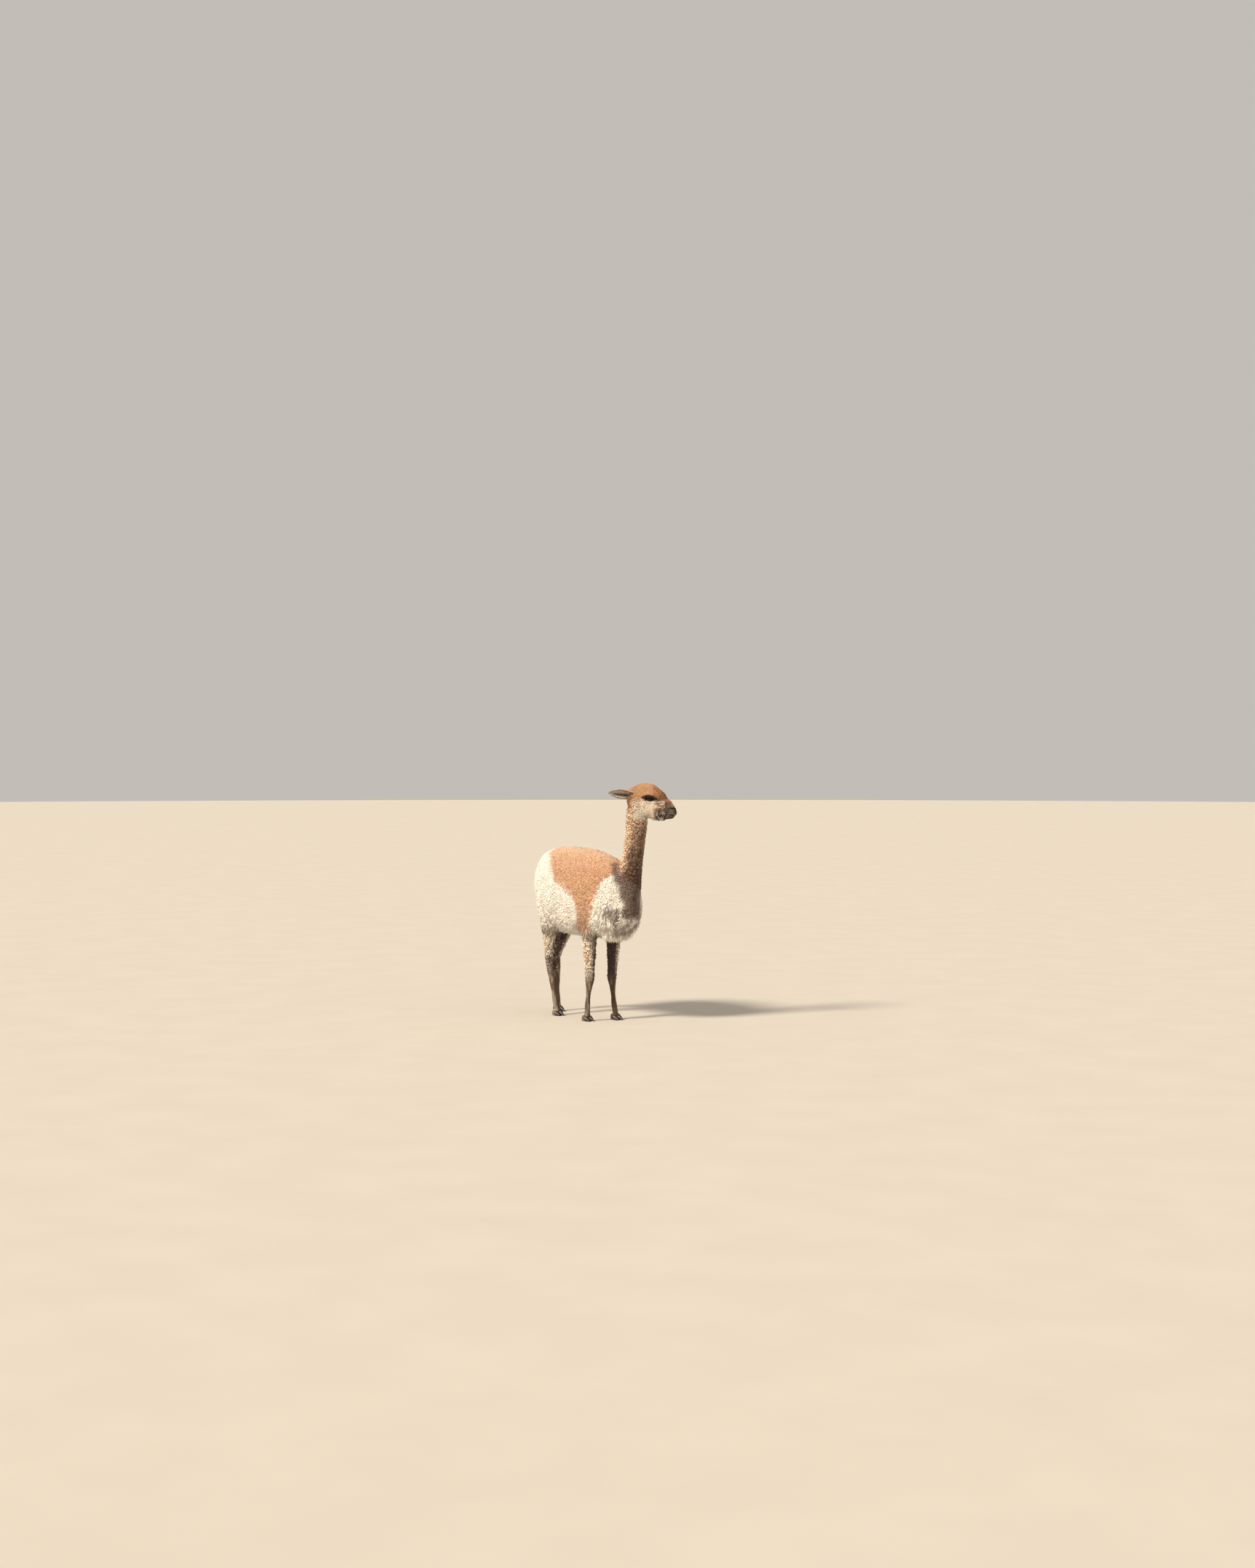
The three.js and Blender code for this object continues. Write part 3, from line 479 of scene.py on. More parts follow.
# Markings
# Colours of the coat, each with its sRGB hex value and where it lies
COLOURS = {
    "saddle": ("#D4A57E", "Back and shoulder wedge"),
    # The lighter top of the back is a painted highlight where the light falls from above, not a colour of the
    # fleece
    "saddle_top": ("#DDB898", "Painted-highlight top of the back"),
    "cream": ("#F9F2E6", "Haunch, flank and chest"),
    "fawn": ("#EECBAA", "Neck, and patches on the legs"),
    # This brown is partly painted shade: it is darkened to stand for the shaded front of the neck and breast
    "chest": ("#5A351E", "Breast and front of the neck"),
    "rust": ("#A56F47", "Nape and tips of the ears"),
    "leg_white": ("#E9DAC4", "Outer sides of the legs"),
    # On the legs this brown is painted shade, on the inner sides and under the fringe; on the ears it is the
    # real brown of the rims
    "leg_brown": ("#432A1B", "Inner sides of the legs and rims of the ears"),
    "cannon": ("#5C4230", "Short hair below knee and hock"),
    "dome": ("#C99C72", "Top of the head and backs of the ears"),
    "brow": ("#B27B50", "Brow and bridge of the nose"),
    "cheek_cream": ("#FDF0DC", "Cheek and throat"),
    # Also painted shade, in the crease under the eyes and along the hollow inside the ears
    "muzzle_dark": ("#40281A", "Wet hair on the sides of the muzzle"),
    "muzzle_grey": ("#655643", "Tip of the muzzle"),
    "nose_black": ("#1A1512", "Nose, nostrils and lips"),
    "chin": ("#4E4235", "Chin"),
    "lid_brown": ("#1B110C", "Dark mark round the eyes, and the lashes"),
    "lid_rim": ("#1C120D", "Rims of the lids"),
    "pale_ring": ("#DDC2A6", "Fold under the eyes"),
    "ear_grey": ("#E6D8CA", "Hair inside the ears"),
}
hue = SimpleNamespace(**{name: linear(value) for name, (value, _) in COLOURS.items()})

# Edges of the patches on the flank in millimetres: the saddle's as x and z, the others' as z and x
SADDLE_EDGE = (
    (-420, -265, -191, -114, -61, -22, 46, 94, 160, 420),
    (905, 908, 897, 833, 767, 745, 716, 690, 690, 690),
)
WEDGE_REAR = ((440, 480, 545, 595, 656, 692, 760), (52, 62, 93, 128, 106, 94, 60))
WEDGE_FRONT = (
    (440, 494, 534, 571, 618, 662, 698, 743, 784, 797, 860),
    (120, 147, 186, 208, 236, 238, 249, 262, 288, 303, 330),
)
NECK_EDGE = ((560, 624, 674, 710, 745, 797, 864, 900), (372, 375, 369, 358, 345, 312, 246, 200))
# Top line of the muzzle, as forward and up on the head
MUZZLE_RIDGE = ((86, 112, 132, 144), (20, -11, -36, -58))
# Locks and streaks that hang are drawn longer than wide by shrinking the height
HANGING = np.array([1, 1, 0.3])
WET_HAIR = np.array([1, 1, 0.4])


def blend(base, colour, share):
    """base moved towards colour by a share of 0 to 1."""
    return base + (colour - base) * np.clip(share, 0, 1)[..., None]


def torso_colour(points):
    """Tan saddle and shoulder wedge with a painted highlight along the top of the back, cream haunch, flank
    and chest, and a brown breast partly painted shade.
    """
    x, _, z = (points / MM).T
    wander = noise(points, 0.05, 3) * 12 + noise(points, 0.018, 4) * 7
    above = z - np.interp(x, *SADDLE_EDGE) + wander
    behind_wedge = np.interp(z, *WEDGE_REAR) - x + wander
    before_wedge = x - np.interp(z, *WEDGE_FRONT) + wander
    breast = x - np.interp(z, *NECK_EDGE) + wander
    colour = np.tile(hue.saddle, (len(points), 1))
    # Painted highlight: the back is made lighter towards its top, where the light falls on it
    colour = blend(colour, hue.saddle_top, smooth(z, 820, 940) * 0.8)
    cream = smooth(behind_wedge, -20, 20) * smooth(-above, -24, 26)
    cream = np.maximum(cream, smooth(-x - wander, 208, 250) * smooth(z, 840, 890))
    cream = np.maximum(cream, smooth(before_wedge, -15, 15))
    cream = np.maximum(cream, smooth(478 - z + wander * 0.5, -16, 14))
    colour = blend(colour, hue.cream, cream)
    # The brown of the breast and its dark streaks are partly real brown locks and partly painted shade,
    # spreading towards the front, which is turned from the light
    colour = blend(colour, hue.chest, smooth(breast, -10, 12) * smooth(z, 560, 600) * 0.85)
    streak = smooth(noise(points * HANGING, 0.014, 24) + 0.6 * smooth(x, 290, 360), 0.25, 0.75)
    colour = blend(colour, hue.chest, streak * smooth(x, 225, 300) * smooth(-z, -680, -600) * 0.66)
    rim = smooth(-x + wander, 328, 380) * smooth(-z, -880, -800)
    return blend(colour, hue.saddle, rim * 0.7)


def neck_colour(points, angle):
    """Light tan, dark brown in front and towards the breast, partly painted shade, with a rust nape and a
    cream throat.
    """
    z = points[:, 2] / MM
    wander = noise(points, 0.045, 7) * 0.35 + noise(points, 0.015, 8) * 0.2
    colour = np.tile(hue.fawn, (len(points), 1))
    low = smooth(-z, -960, -760)
    middle = smooth(-z, -1120, -900)
    # The dark front is partly real brown and partly painted shade, darkened to stand for the side turned from
    # the light
    front = smooth(np.sin(angle) + 0.4 * low + wander, 0.15, 0.7)
    colour = blend(colour, hue.chest, front * (0.45 + 0.32 * middle + 0.18 * low))
    spots = smooth(noise(points, 0.013, 9), 0.15, 0.5)
    colour = blend(colour, hue.chest, spots * 0.4)
    nape = smooth(z, 1060, 1180) * smooth(-np.sin(angle) + wander, 0.35, 0.8)
    colour = blend(colour, hue.rust, nape * 0.75)
    return blend(colour, hue.cheek_cream, throat_share(points) * 0.9)


def throat_share(points):
    """The cream patch behind and under the jaw, which runs from the cheek on to the neck."""
    forward, _, up = head_frame(points)
    wander = noise(points, 0.02, 14) * 10
    band = smooth(-up + wander, 40, 62) * smooth(up + wander, -124, -100)
    return band * smooth(forward + wander, -92, -72)


def leg_colour(points, kind, inner, rear):
    """Beige-white wool above, with painted shade as brown on the inner sides and in a band under the fleece's
    fringe, tan knees and short brown hair on the cannons.
    """
    z = points[:, 2] / MM
    bend = BEND_Z[kind]
    wander = noise(points, 0.035, 11) * 24
    colour = np.tile(hue.leg_white, (len(points), 1))
    colour = blend(colour, hue.fawn, smooth(noise(points, 0.03, 12), 0.05, 0.7) * 0.5)
    # Painted shade: the inner sides, turned from the light, are darkened brown
    colour = blend(colour, hue.leg_brown, smooth(inner, -0.25, 0.35) * 0.95)
    # Painted shade: a dark band where the fleece's fringe overhangs the legs, deeper on the back edge of the
    # hind legs
    shaded = smooth(z + wander, 400, 470) * smooth(-z - wander, -560, -500)
    edge = smooth(rear, 0.1, 0.7) * (kind == "hind")
    colour = blend(colour, hue.leg_brown, shaded * (0.35 + 0.5 * edge))
    low = smooth(bend + 60 - z + wander, 0, 60)
    colour = blend(colour, hue.cannon, low * 0.92)
    pale = smooth(noise(points * HANGING, 0.012, 13) - inner * 0.5, 0.0, 0.6)
    return blend(colour, hue.leg_white, low * pale * 0.32)


def head_colour(points):
    """Tan dome, cream cheek and red-brown brow and bridge, then the muzzle, its tip and the eyes."""
    place = head_frame(points)
    forward, _, up = place
    wander = noise(points, 0.02, 15) * 9 + noise(points, 0.007, 16) * 5
    colour = np.tile(hue.dome, (len(points), 1))
    cheek = smooth(-up + wander + np.minimum(-forward * 0.2, 0), -2, 30) * smooth(-forward, -52, -26)
    cheek = cheek * smooth(forward + wander, -100, -76)
    colour = blend(colour, hue.cheek_cream, cheek * 0.92)
    bridge = smooth(forward + wander, 14, 40) * smooth(up + forward * 0.9 + wander, 26, 48)
    colour = blend(colour, hue.brow, bridge * 0.9)
    colour = muzzle_colour(colour, points, place, wander)
    specks = smooth(noise(points * WET_HAIR, 0.004, 19), 0.1, 0.5)
    colour = blend(colour, hue.muzzle_dark, bridge * specks * 0.6)
    colour = tip_colour(colour, forward, up, wander)
    return eye_colour(colour, forward, up)


def muzzle_colour(colour, points, place, wander):
    """Dark wet sides with cream streaks, and a brown band above them with cream wrinkles along it."""
    forward, outward, up = place
    side = smooth(forward + wander, 30, 56) * smooth(-up - forward * 0.55 + wander, -40, -16)
    colour = blend(colour, hue.muzzle_dark, side * 0.95)
    wet = points * WET_HAIR
    streak = smooth(noise(wet, 0.0055, 17) + noise(wet, 0.003, 18) * 0.5, 0.05, 0.4)
    colour = blend(colour, hue.cream, side * streak * (0.2 + 0.65 * smooth(-up, 55, 90)))
    level = np.stack([forward * 0.22, outward * 0.4, up], -1)
    wrinkle = smooth(noise(level, 4.2, 26) + noise(level, 2.4, 27) * 0.4, 0.02, 0.42)
    band = smooth(forward, 30, 42) * smooth(-forward, -98, -84) * smooth(-up, 8, 20) * smooth(up, -62, -50)
    colour = blend(colour, hue.brow, band * 0.5)
    return blend(colour, hue.cream, band * wrinkle * 0.75)


def tip_colour(colour, forward, up, wander):
    """Olive-grey tip and chin, and black on nose, lip, nostril and the line of the mouth."""
    ridge = np.interp(forward, *MUZZLE_RIDGE)
    olive = smooth(ridge - up + wander * 0.5, 9, 22) * smooth(forward + wander * 0.4, 98, 116)
    colour = blend(colour, hue.muzzle_grey, np.maximum(olive, smooth(forward, 126, 136)) * 0.92)
    colour = blend(colour, hue.chin, smooth(forward, 88, 104) * smooth(-up, 90, 96) * 0.85)
    nose = smooth(forward + wander * 0.3, 130, 140) * smooth(up + forward * 0.3, -38, -28)
    colour = blend(colour, hue.nose_black, nose * 0.8)
    colour = blend(colour, hue.nose_black, smooth(forward, 132, 143) * smooth(up, -88, -80) * 0.9)
    nostril = np.hypot((forward - 126) / 19, (up + 55 + (forward - 126) * 0.12) / 5)
    colour = blend(colour, hue.nose_black, smooth(-nostril, -1.25, -0.8))
    mouth = smooth(1.6 - np.abs(up - mouth_height(forward)), -2, 0)
    return blend(colour, hue.nose_black, mouth * smooth(forward, MOUTH["corner"], MOUTH["corner"] + 10))


def eye_colour(colour, forward, up):
    """A long dark almond round the eye, drawn out to both corners, over a pale fold that runs under it, with
    painted shade in the crease below the fold.
    """
    place = EYE["place"]
    along, rise = forward - place[0] - 1, up - place[2] - 1
    fall = EYE_MARK["fall"] * along
    taper = np.maximum(1 - (np.abs(along) / EYE_MARK["half_length"]) ** 1.8, 0) ** 0.85
    above = rise - fall - EYE_MARK["above"] * taper
    below = -(rise - fall) - EYE_MARK["below"] * taper
    outside = np.maximum(above, below) + 40 * (np.abs(along) >= EYE_MARK["half_length"])
    fold = smooth(-np.abs(below - 4.5), -5, -1.5) * smooth(-above, -2, 6) * smooth(-along, -26, -6)
    colour = blend(colour, hue.pale_ring, fold * smooth(along, -52, -40))
    # Painted shade in the crease below the pale fold
    crease = smooth(-np.abs(below - 11), -2.8, -1) * smooth(-above, -2, 6)
    colour = blend(colour, hue.muzzle_dark, crease * smooth(-np.abs(along + 4), -28, -12) * 0.6)
    ragged = noise(np.stack([forward, up, up * 0], -1), 4, 28) * 1.6
    return blend(colour, hue.lid_brown, smooth(-outside + ragged, -1.8, 2.2) * 0.97)


def mouth_height(forward):
    """Height of the line between the lips, which falls a little from the corner to the tip."""
    return MOUTH["z"] + 4 - 8 * smooth(forward, 72, 128) - 5 * smooth(forward, 124, 148)


def coat_colour(points, weights, located):
    """The markings of every part, weighed by how much it owns each point."""
    colour = np.zeros((len(points), 3))
    z = points[:, 2] / MM
    for index, name in enumerate(NAMES):
        angle = located[index][1]
        if name == "torso":
            own = torso_colour(points)
        elif name == "neck":
            own = neck_colour(points, angle)
        elif name == "head":
            own = head_colour(points)
        elif name == "tail":
            own = blend(np.tile(hue.saddle, (len(points), 1)), hue.cream, smooth(np.sin(angle), -0.4, 0.5))
        else:
            kind = LEGS[name][0]
            side = 1 if name.endswith("left") else -1
            own = leg_colour(points, kind, -np.cos(angle) * side, -np.sin(angle))
            high = smooth(z + noise(points * HANGING, 0.022, 25) * 34, 490, 540)
            own = own + (torso_colour(points) - own) * high[:, None]
        colour += own * weights[:, index : index + 1]
    return colour


# Meshes
def add_object(name, mesh, material, replaced=(), stage=False):
    """Links a mesh that is already in the shared frame, gives it its material and says what carries it."""
    piece = bpy.data.objects.new(name, mesh)
    bpy.context.scene.collection.objects.link(piece)
    mesh.materials.clear()
    mesh.materials.append(material)
    if stage:
        return piece
    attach(piece, "root")
    if replaced:
        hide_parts(*replaced)
    return piece


def mesh_from(name, points, faces, shifted=True):
    """A smooth-shaded mesh of triangles from whole arrays."""
    mesh = bpy.data.meshes.new(name)
    placed = points + SHIFT if shifted else points
    mesh.vertices.add(len(placed))
    mesh.vertices.foreach_set("co", placed.astype(np.float32).ravel())
    mesh.loops.add(faces.size)
    mesh.loops.foreach_set("vertex_index", faces.astype(np.int32).ravel())
    mesh.polygons.add(len(faces))
    mesh.polygons.foreach_set("loop_start", np.arange(0, faces.size, 3, dtype=np.int32))
    mesh.polygons.foreach_set("use_smooth", np.ones(len(faces), bool))
    mesh.update(calc_edges=True)
    return mesh


def paint(mesh, name, colours):
    """Stores a linear colour for each vertex."""
    layer = mesh.color_attributes.new(name, "FLOAT_COLOR", "POINT")
    full = np.ones((len(mesh.vertices), 4), np.float32)
    full[:, :3] = colours
    layer.data.foreach_set("color", full.ravel())


def value_layer(mesh, name, values):
    """Stores a number for each vertex."""
    layer = mesh.attributes.new(name, "FLOAT", "POINT")
    layer.data.foreach_set("value", values.astype(np.float32))


def merged(shells):
    """Several shells as one list of points and one of triangles."""
    counts = np.cumsum([0] + [len(points) for points, _ in shells])
    points = np.vstack([points for points, _ in shells])
    faces = np.vstack([faces + start for (_, faces), start in zip(shells, counts)])
    return points, faces


def ball(centre, radii, axes, rings=14, sides=24):
    """An ellipsoid: the centre plus cos and sin of longitude and latitude along three axes."""
    latitude = np.linspace(-np.pi / 2, np.pi / 2, rings + 2)[1:-1, None]
    longitude = np.linspace(0, 2 * np.pi, sides, endpoint=False)[None]
    grid = (
        centre
        + (np.cos(latitude) * np.cos(longitude))[..., None] * axes[0] * radii[0]
        + (np.cos(latitude) * np.sin(longitude))[..., None] * axes[1] * radii[1]
        + (np.sin(latitude) + 0 * longitude)[..., None] * axes[2] * radii[2]
    )
    return closed_tube(grid)


def toe_shell(leg, toe_side, low_share, high_share, grow, rings=14, sides=20):
    """A toe or its nail: a flat-bottomed wedge whose width and top follow two short tables."""
    foot = LEGS[leg][3]
    share = np.linspace(low_share, high_share, rings)[:, None]
    angle = np.linspace(0, 2 * np.pi, sides, endpoint=False)[None]
    steps = np.linspace(0, 1, len(TOE_WIDTHS))
    width = spline(np.stack([steps, np.array(TOE_WIDTHS) * TOE["half_width"]], -1), share[:, 0])[:, 1:]
    top = spline(np.stack([steps, np.array(TOE_TOPS) * TOE["height"]], -1), share[:, 0])[:, 1:]
    width = np.maximum(width + grow, 0.4)
    top = top + grow
    across = np.sign(np.cos(angle)) * np.abs(np.cos(angle)) ** 0.85 * width
    up = np.maximum(top / 2 * (1 + 1.12 * np.sin(angle)), 0.5 - 0.4 * grow)
    lean = (up - 12) * -0.35 * (1 if low_share > 0 else 0) * smooth(-share, -low_share - 0.12, -low_share)
    x = foot[0] - TOE["behind"] + share * TOE["length"] + lean + 0 * angle
    y = foot[1] + toe_side * TOE["apart"] + across
    return closed_tube(np.stack([x, y, up], -1) * MM)


# Materials
def add_node(material, kind, settings=None, links=None):
    """Adds one node, sets its attributes and sockets, and links each named input from an output."""
    tree = material.node_tree
    node = tree.nodes.new(kind)
    for name, value in (settings or {}).items():
        if isinstance(name, str) and hasattr(node, name):
            setattr(node, name, value)
        else:
            node.inputs[name].default_value = value
    for name, output in (links or {}).items():
        tree.links.new(output, node.inputs[name])
    return node


def new_material(name):
    """An empty node material."""
    material = bpy.data.materials.new(name)
    material.use_nodes = True
    material.node_tree.nodes.clear()
    return material


def finished(material, settings, links):
    """Ends a material with its shader, whose own sockets hold what is the same all over."""
    shader = add_node(material, "ShaderNodeBsdfPrincipled", settings, links)
    add_node(material, "ShaderNodeOutputMaterial", None, {"Surface": shader.outputs[0]})
    return material


def grain(material, per_metre, detail=2.0, stretch=(1.0, 1.0, 1.0)):
    """Noise fixed to the piece, so many cells a metre, drawn out along an axis whose stretch is below 1."""
    place = add_node(material, "ShaderNodeTexCoord").outputs["Object"]
    drawn = add_node(material, "ShaderNodeMapping", {"Scale": stretch}, {"Vector": place}).outputs[0]
    settings = {"Scale": per_metre, "Detail": detail}
    return add_node(material, "ShaderNodeTexNoise", settings, {"Vector": drawn}).outputs["Fac"]


def shaded(material, colour, value, limits, tones):
    """A colour times a tone that goes from the first to the second as the value goes between its limits."""
    settings = {"From Min": limits[0], "From Max": limits[1], "To Min": tones[0], "To Max": tones[1]}
    tone = add_node(material, "ShaderNodeMapRange", settings, {"Value": value}).outputs["Result"]
    links = {0: colour, "Scale": tone}
    return add_node(material, "ShaderNodeVectorMath", {"operation": "SCALE"}, links).outputs[0]


def fill_ramp(node, stops):
    """Sets the places and linear colours of a ramp's stops, and gives back its colour."""
    for index, (place, colour) in enumerate(stops):
        stop = node.color_ramp.elements[index] if index < 2 else node.color_ramp.elements.new(place)
        stop.position = place
        stop.color = (*colour, 1)
    return node.outputs["Color"]


def wool_material(name, roughness, sheen, painted_root_shade, flecks):
    """Wool or hair: each lock takes its colour from its vertices, darkens to its root as painted shade and is
    flecked.
    """
    material = new_material(name)
    colour = add_node(material, "ShaderNodeAttribute", {"attribute_name": "Coat"}).outputs["Color"]
    tip = add_node(material, "ShaderNodeAttribute", {"attribute_name": "Tip"}).outputs["Fac"]
    # Painted shade: each lock darkens towards its root, standing for the shadow deep between the locks
    colour = shaded(material, colour, tip, (0.0, 0.8), (painted_root_shade, 1.05))
    colour = shaded(material, colour, grain(material, flecks), (0.3, 0.7), (0.86, 1.1))
    settings = {"Roughness": roughness, "IOR": 1.55, "Specular IOR Level": 0.2}
    settings.update({"Sheen Weight": sheen, "Sheen Roughness": 0.5})
    return finished(material, settings, {"Base Color": colour})


def hide_material():
    """Short-haired hide: the markings of the coat, with hairs as bump, drawn 1.5 mm apart to show."""
    material = new_material("short_haired_hide")
    colour = add_node(material, "ShaderNodeAttribute", {"attribute_name": "Coat"}).outputs["Color"]
    hairs = grain(material, 650.0, 3.0, tuple(HANGING))
    colour = shaded(material, colour, hairs, (0.3, 0.7), (0.72, 1.08))
    bump = add_node(material, "ShaderNodeBump", {"Strength": 0.5, "Distance": 1.2 * MM}, {"Height": hairs})
    settings = {"Roughness": 0.75, "Sheen Weight": 0.15, "IOR": 1.5, "Specular IOR Level": 0.25}
    return finished(material, settings, {"Base Color": colour, "Normal": bump.outputs["Normal"]})


def eye_material():
    """A wet eye: near-black brown iris round a wide dark pupil, under clear glossy cornea."""
    material = new_material("wet_cornea")
    ring = add_node(material, "ShaderNodeAttribute", {"attribute_name": "Ring"}).outputs["Fac"]
    wobble = {0: grain(material, 420.0), 2: ring}
    ragged = add_node(material, "ShaderNodeMath", {"operation": "MULTIPLY_ADD", 1: 0.2}, wobble).outputs[0]
    ramp = add_node(material, "ShaderNodeValToRGB", None, {"Fac": ragged})
    stops = ((0.0, "#060404"), (0.42, "#0A0605"), (0.56, "#2A170D"), (0.86, "#1B0F09"), (1.0, "#0B0706"))
    colour = fill_ramp(ramp, [(place, linear(value)) for place, value in stops])
    settings = {"Roughness": 0.15, "IOR": 1.38, "Specular IOR Level": 0.15}
    settings.update({"Coat Weight": 0.25, "Coat Roughness": 0.02})
    return finished(material, settings, {"Base Color": colour})


def horn_material():
    """Worn nail horn: dark brown keratin, half matt, with faint fibres along its length, drawn millimetres
    apart to show."""
    material = new_material("nail_horn")
    fibres = grain(material, 110.0, 3.0, (0.25, 1.0, 1.0))
    ramp = add_node(material, "ShaderNodeValToRGB", None, {"Fac": fibres})
    colour = fill_ramp(ramp, ((0.0, linear("#1C1612")), (1.0, linear("#3A2E25"))))
    bump = add_node(material, "ShaderNodeBump", {"Strength": 0.3, "Distance": 0.4 * MM}, {"Height": fibres})
    links = {"Base Color": colour, "Normal": bump.outputs["Normal"]}
    return finished(material, {"Roughness": 0.42, "IOR": 1.54}, links)


def floor_material(settings):
    """A painted floor: matt and pale, with the faint unevenness of a roller, a third of a metre apart."""
    material = new_material("matt_floor_paint")
    ramp = add_node(material, "ShaderNodeValToRGB", None, {"Fac": grain(material, 3.0)})
    colour = fill_ramp(ramp, ((0.0, settings.floor_shade), (1.0, settings.floor_light)))
    return finished(material, {"Roughness": 0.9}, {"Base Color": colour})


# Each wool's or hair's roughness, sheen, painted shade at the root and colour flecks per metre. The flecks
# stand for single fibres and are drawn 2 to 4 mm apart to show.
# Fleece is crimped keratin fibre a hundredth of a millimetre thick: matt, with a faint halo of light.
# Leg wool is coarse and curly: its pale tips stand out from dark crevices, which are painted shade at the
# roots.
# Crown wool is velvety, too fine to part into locks. Guard hair is short, straight and smoother than fleece.
WOOLS = {
    "vicuna_fleece": (0.9, 0.3, 0.76, 260.0),
    "curly_leg_wool": (0.9, 0.2, 0.18, 260.0),
    "fine_crown_wool": (0.85, 0.3, 0.74, 500.0),
    "short_guard_hair": (0.7, 0.15, 0.55, 420.0),
}


def wool(name):
    """One of the wools, made when it is first asked for."""
    return bpy.data.materials.get(name) or wool_material(name, *WOOLS[name])


# Tufts
BAKE_PATCH = 0.003
FLOOR_GAP = 0.5 * MM
SORT_CELL = 4 * MM
SORT_BITS = 10
ROOT_SUNK = 0.35
WHIRLS = 5


class Surface:
    """A triangle mesh that tufts grow on, with its faces in an order that keeps neighbours together."""

    def __init__(self, points, faces, normals):
        self.points, self.faces, self.normals = points, faces, normals
        corners = points[faces]
        middle = corners.mean(1)
        cross = np.cross(corners[:, 1] - corners[:, 0], corners[:, 2] - corners[:, 0])
        self.areas = np.linalg.norm(cross, axis=1) / 2
        low = middle.min(0)
        grid = ((middle - low) / SORT_CELL).astype(np.int64)
        code = np.zeros(len(grid), np.int64)
        for bit in range(SORT_BITS):
            for axis in range(3):
                code |= ((grid[:, axis] >> bit) & 1) << (3 * bit + axis)
        self.order = np.argsort(code, kind="stable")
        self.middle = middle

    def scatter(self, density, count, seed):
        """Roots spread evenly: equal steps along the running sum of area times density, each placed at
        random in its triangle."""
        random = np.random.default_rng(seed)
        running = np.cumsum((self.areas * density)[self.order])
        steps = (np.arange(count) + random.random(count)) / count * running[-1]
        chosen = self.order[np.minimum(np.searchsorted(running, steps), len(running) - 1)]
        a, b = random.random((2, count))
        over = a + b > 1
        a, b = np.where(over, 1 - a, a), np.where(over, 1 - b, b)
        shares = np.stack([1 - a - b, a, b], -1)[..., None]
        corners = self.faces[chosen]
        return (self.points[corners] * shares).sum(1), unit((self.normals[corners] * shares).sum(1))


def clump_of(points, size, seed):
    """The nearest jittered grid point to each point, and a random number of its own."""
    cell = np.floor(points / size)
    best = np.full(len(points), np.inf)
    centre = np.zeros_like(points)
    number = np.zeros(len(points))
    for step in np.ndindex(3, 3, 3):
        beside = cell + np.array(step) - 1
        drawn = hashed(beside, seed)
        feature = (beside + drawn) * size
        apart = ((feature - points) ** 2).sum(-1)
        closer = apart < best
        best = np.where(closer, apart, best)
        centre[closer] = feature[closer]
        number[closer] = drawn[closer, 0]
    return centre, number


def sideways(normals, lies):
    """The direction across each lie, in the skin's plane."""
    return np.cross(normals, lies)


def turned(lies, sides, angle):
    """Directions turned in the skin's plane by an angle each."""
    return lies * np.cos(angle)[:, None] + sides * np.sin(angle)[:, None]


def combed(lies, normals, look, number, random):
    """Lies pressed into the skin's plane, turned a little by chance, and with their clump by its angle."""
    lies = unit(lies - normals * (lies * normals).sum(-1, keepdims=True))
    lies = turned(lies, sideways(normals, lies), random.normal(0, 1, len(lies)) * look["spread"])
    whirl = number * 2 * np.pi * WHIRLS
    return unit(lies + turned(lies, sideways(normals, lies), whirl) * look["tangle"][:, None])


def grown_lines(roots, normals, lies, look, length, rings):
    """A line for each tuft: it leaves the skin at the angle `stand`, bends to `settle` and droops by `droop`
    towards straight down."""
    shares = np.linspace(0, 1, rings + 1)
    line = [roots - normals * (look["width"] * ROOT_SUNK)[:, None]]
    for middle in (shares[1:] + shares[:-1]) / 2:
        angle = look["stand"] * (1 - middle) + look["settle"] * middle
        step = lies * np.cos(angle)[:, None] + normals * np.sin(angle)[:, None]
        hang = look["droop"] * min(1.0, middle * 1.3)
        step = unit(step * (1 - hang)[:, None] - Z * hang[:, None])
        line.append(line[-1] + step * (length / rings)[:, None])
    return np.stack(line, 1), shares


def gathered(line, shares, roots, normals, centre, look):
    """Pulls each line towards the middle of its clump by `gather`, more and more to the tip."""
    pull = (centre - roots) - normals * ((centre - roots) * normals).sum(-1, keepdims=True)
    return line + pull[:, None] * (shares**1.4)[None, :, None] * look["gather"][:, None, None]


def curled(line, shares, normals, sides, look, length, number, random):
    """Waves each line round itself: sin and cos of `turns` turns, growing to `curl` times the length."""
    phase = number * 2 * np.pi + random.uniform(-0.6, 0.6, len(number))
    swing = phase[:, None] + 2 * np.pi * look["turns"][:, None] * shares
    amount = (look["curl"] * length)[:, None] * shares
    wave = np.sin(swing)[..., None] * sides[:, None] + np.cos(swing)[..., None] * normals[:, None] * 0.6
    return line + amount[..., None] * wave


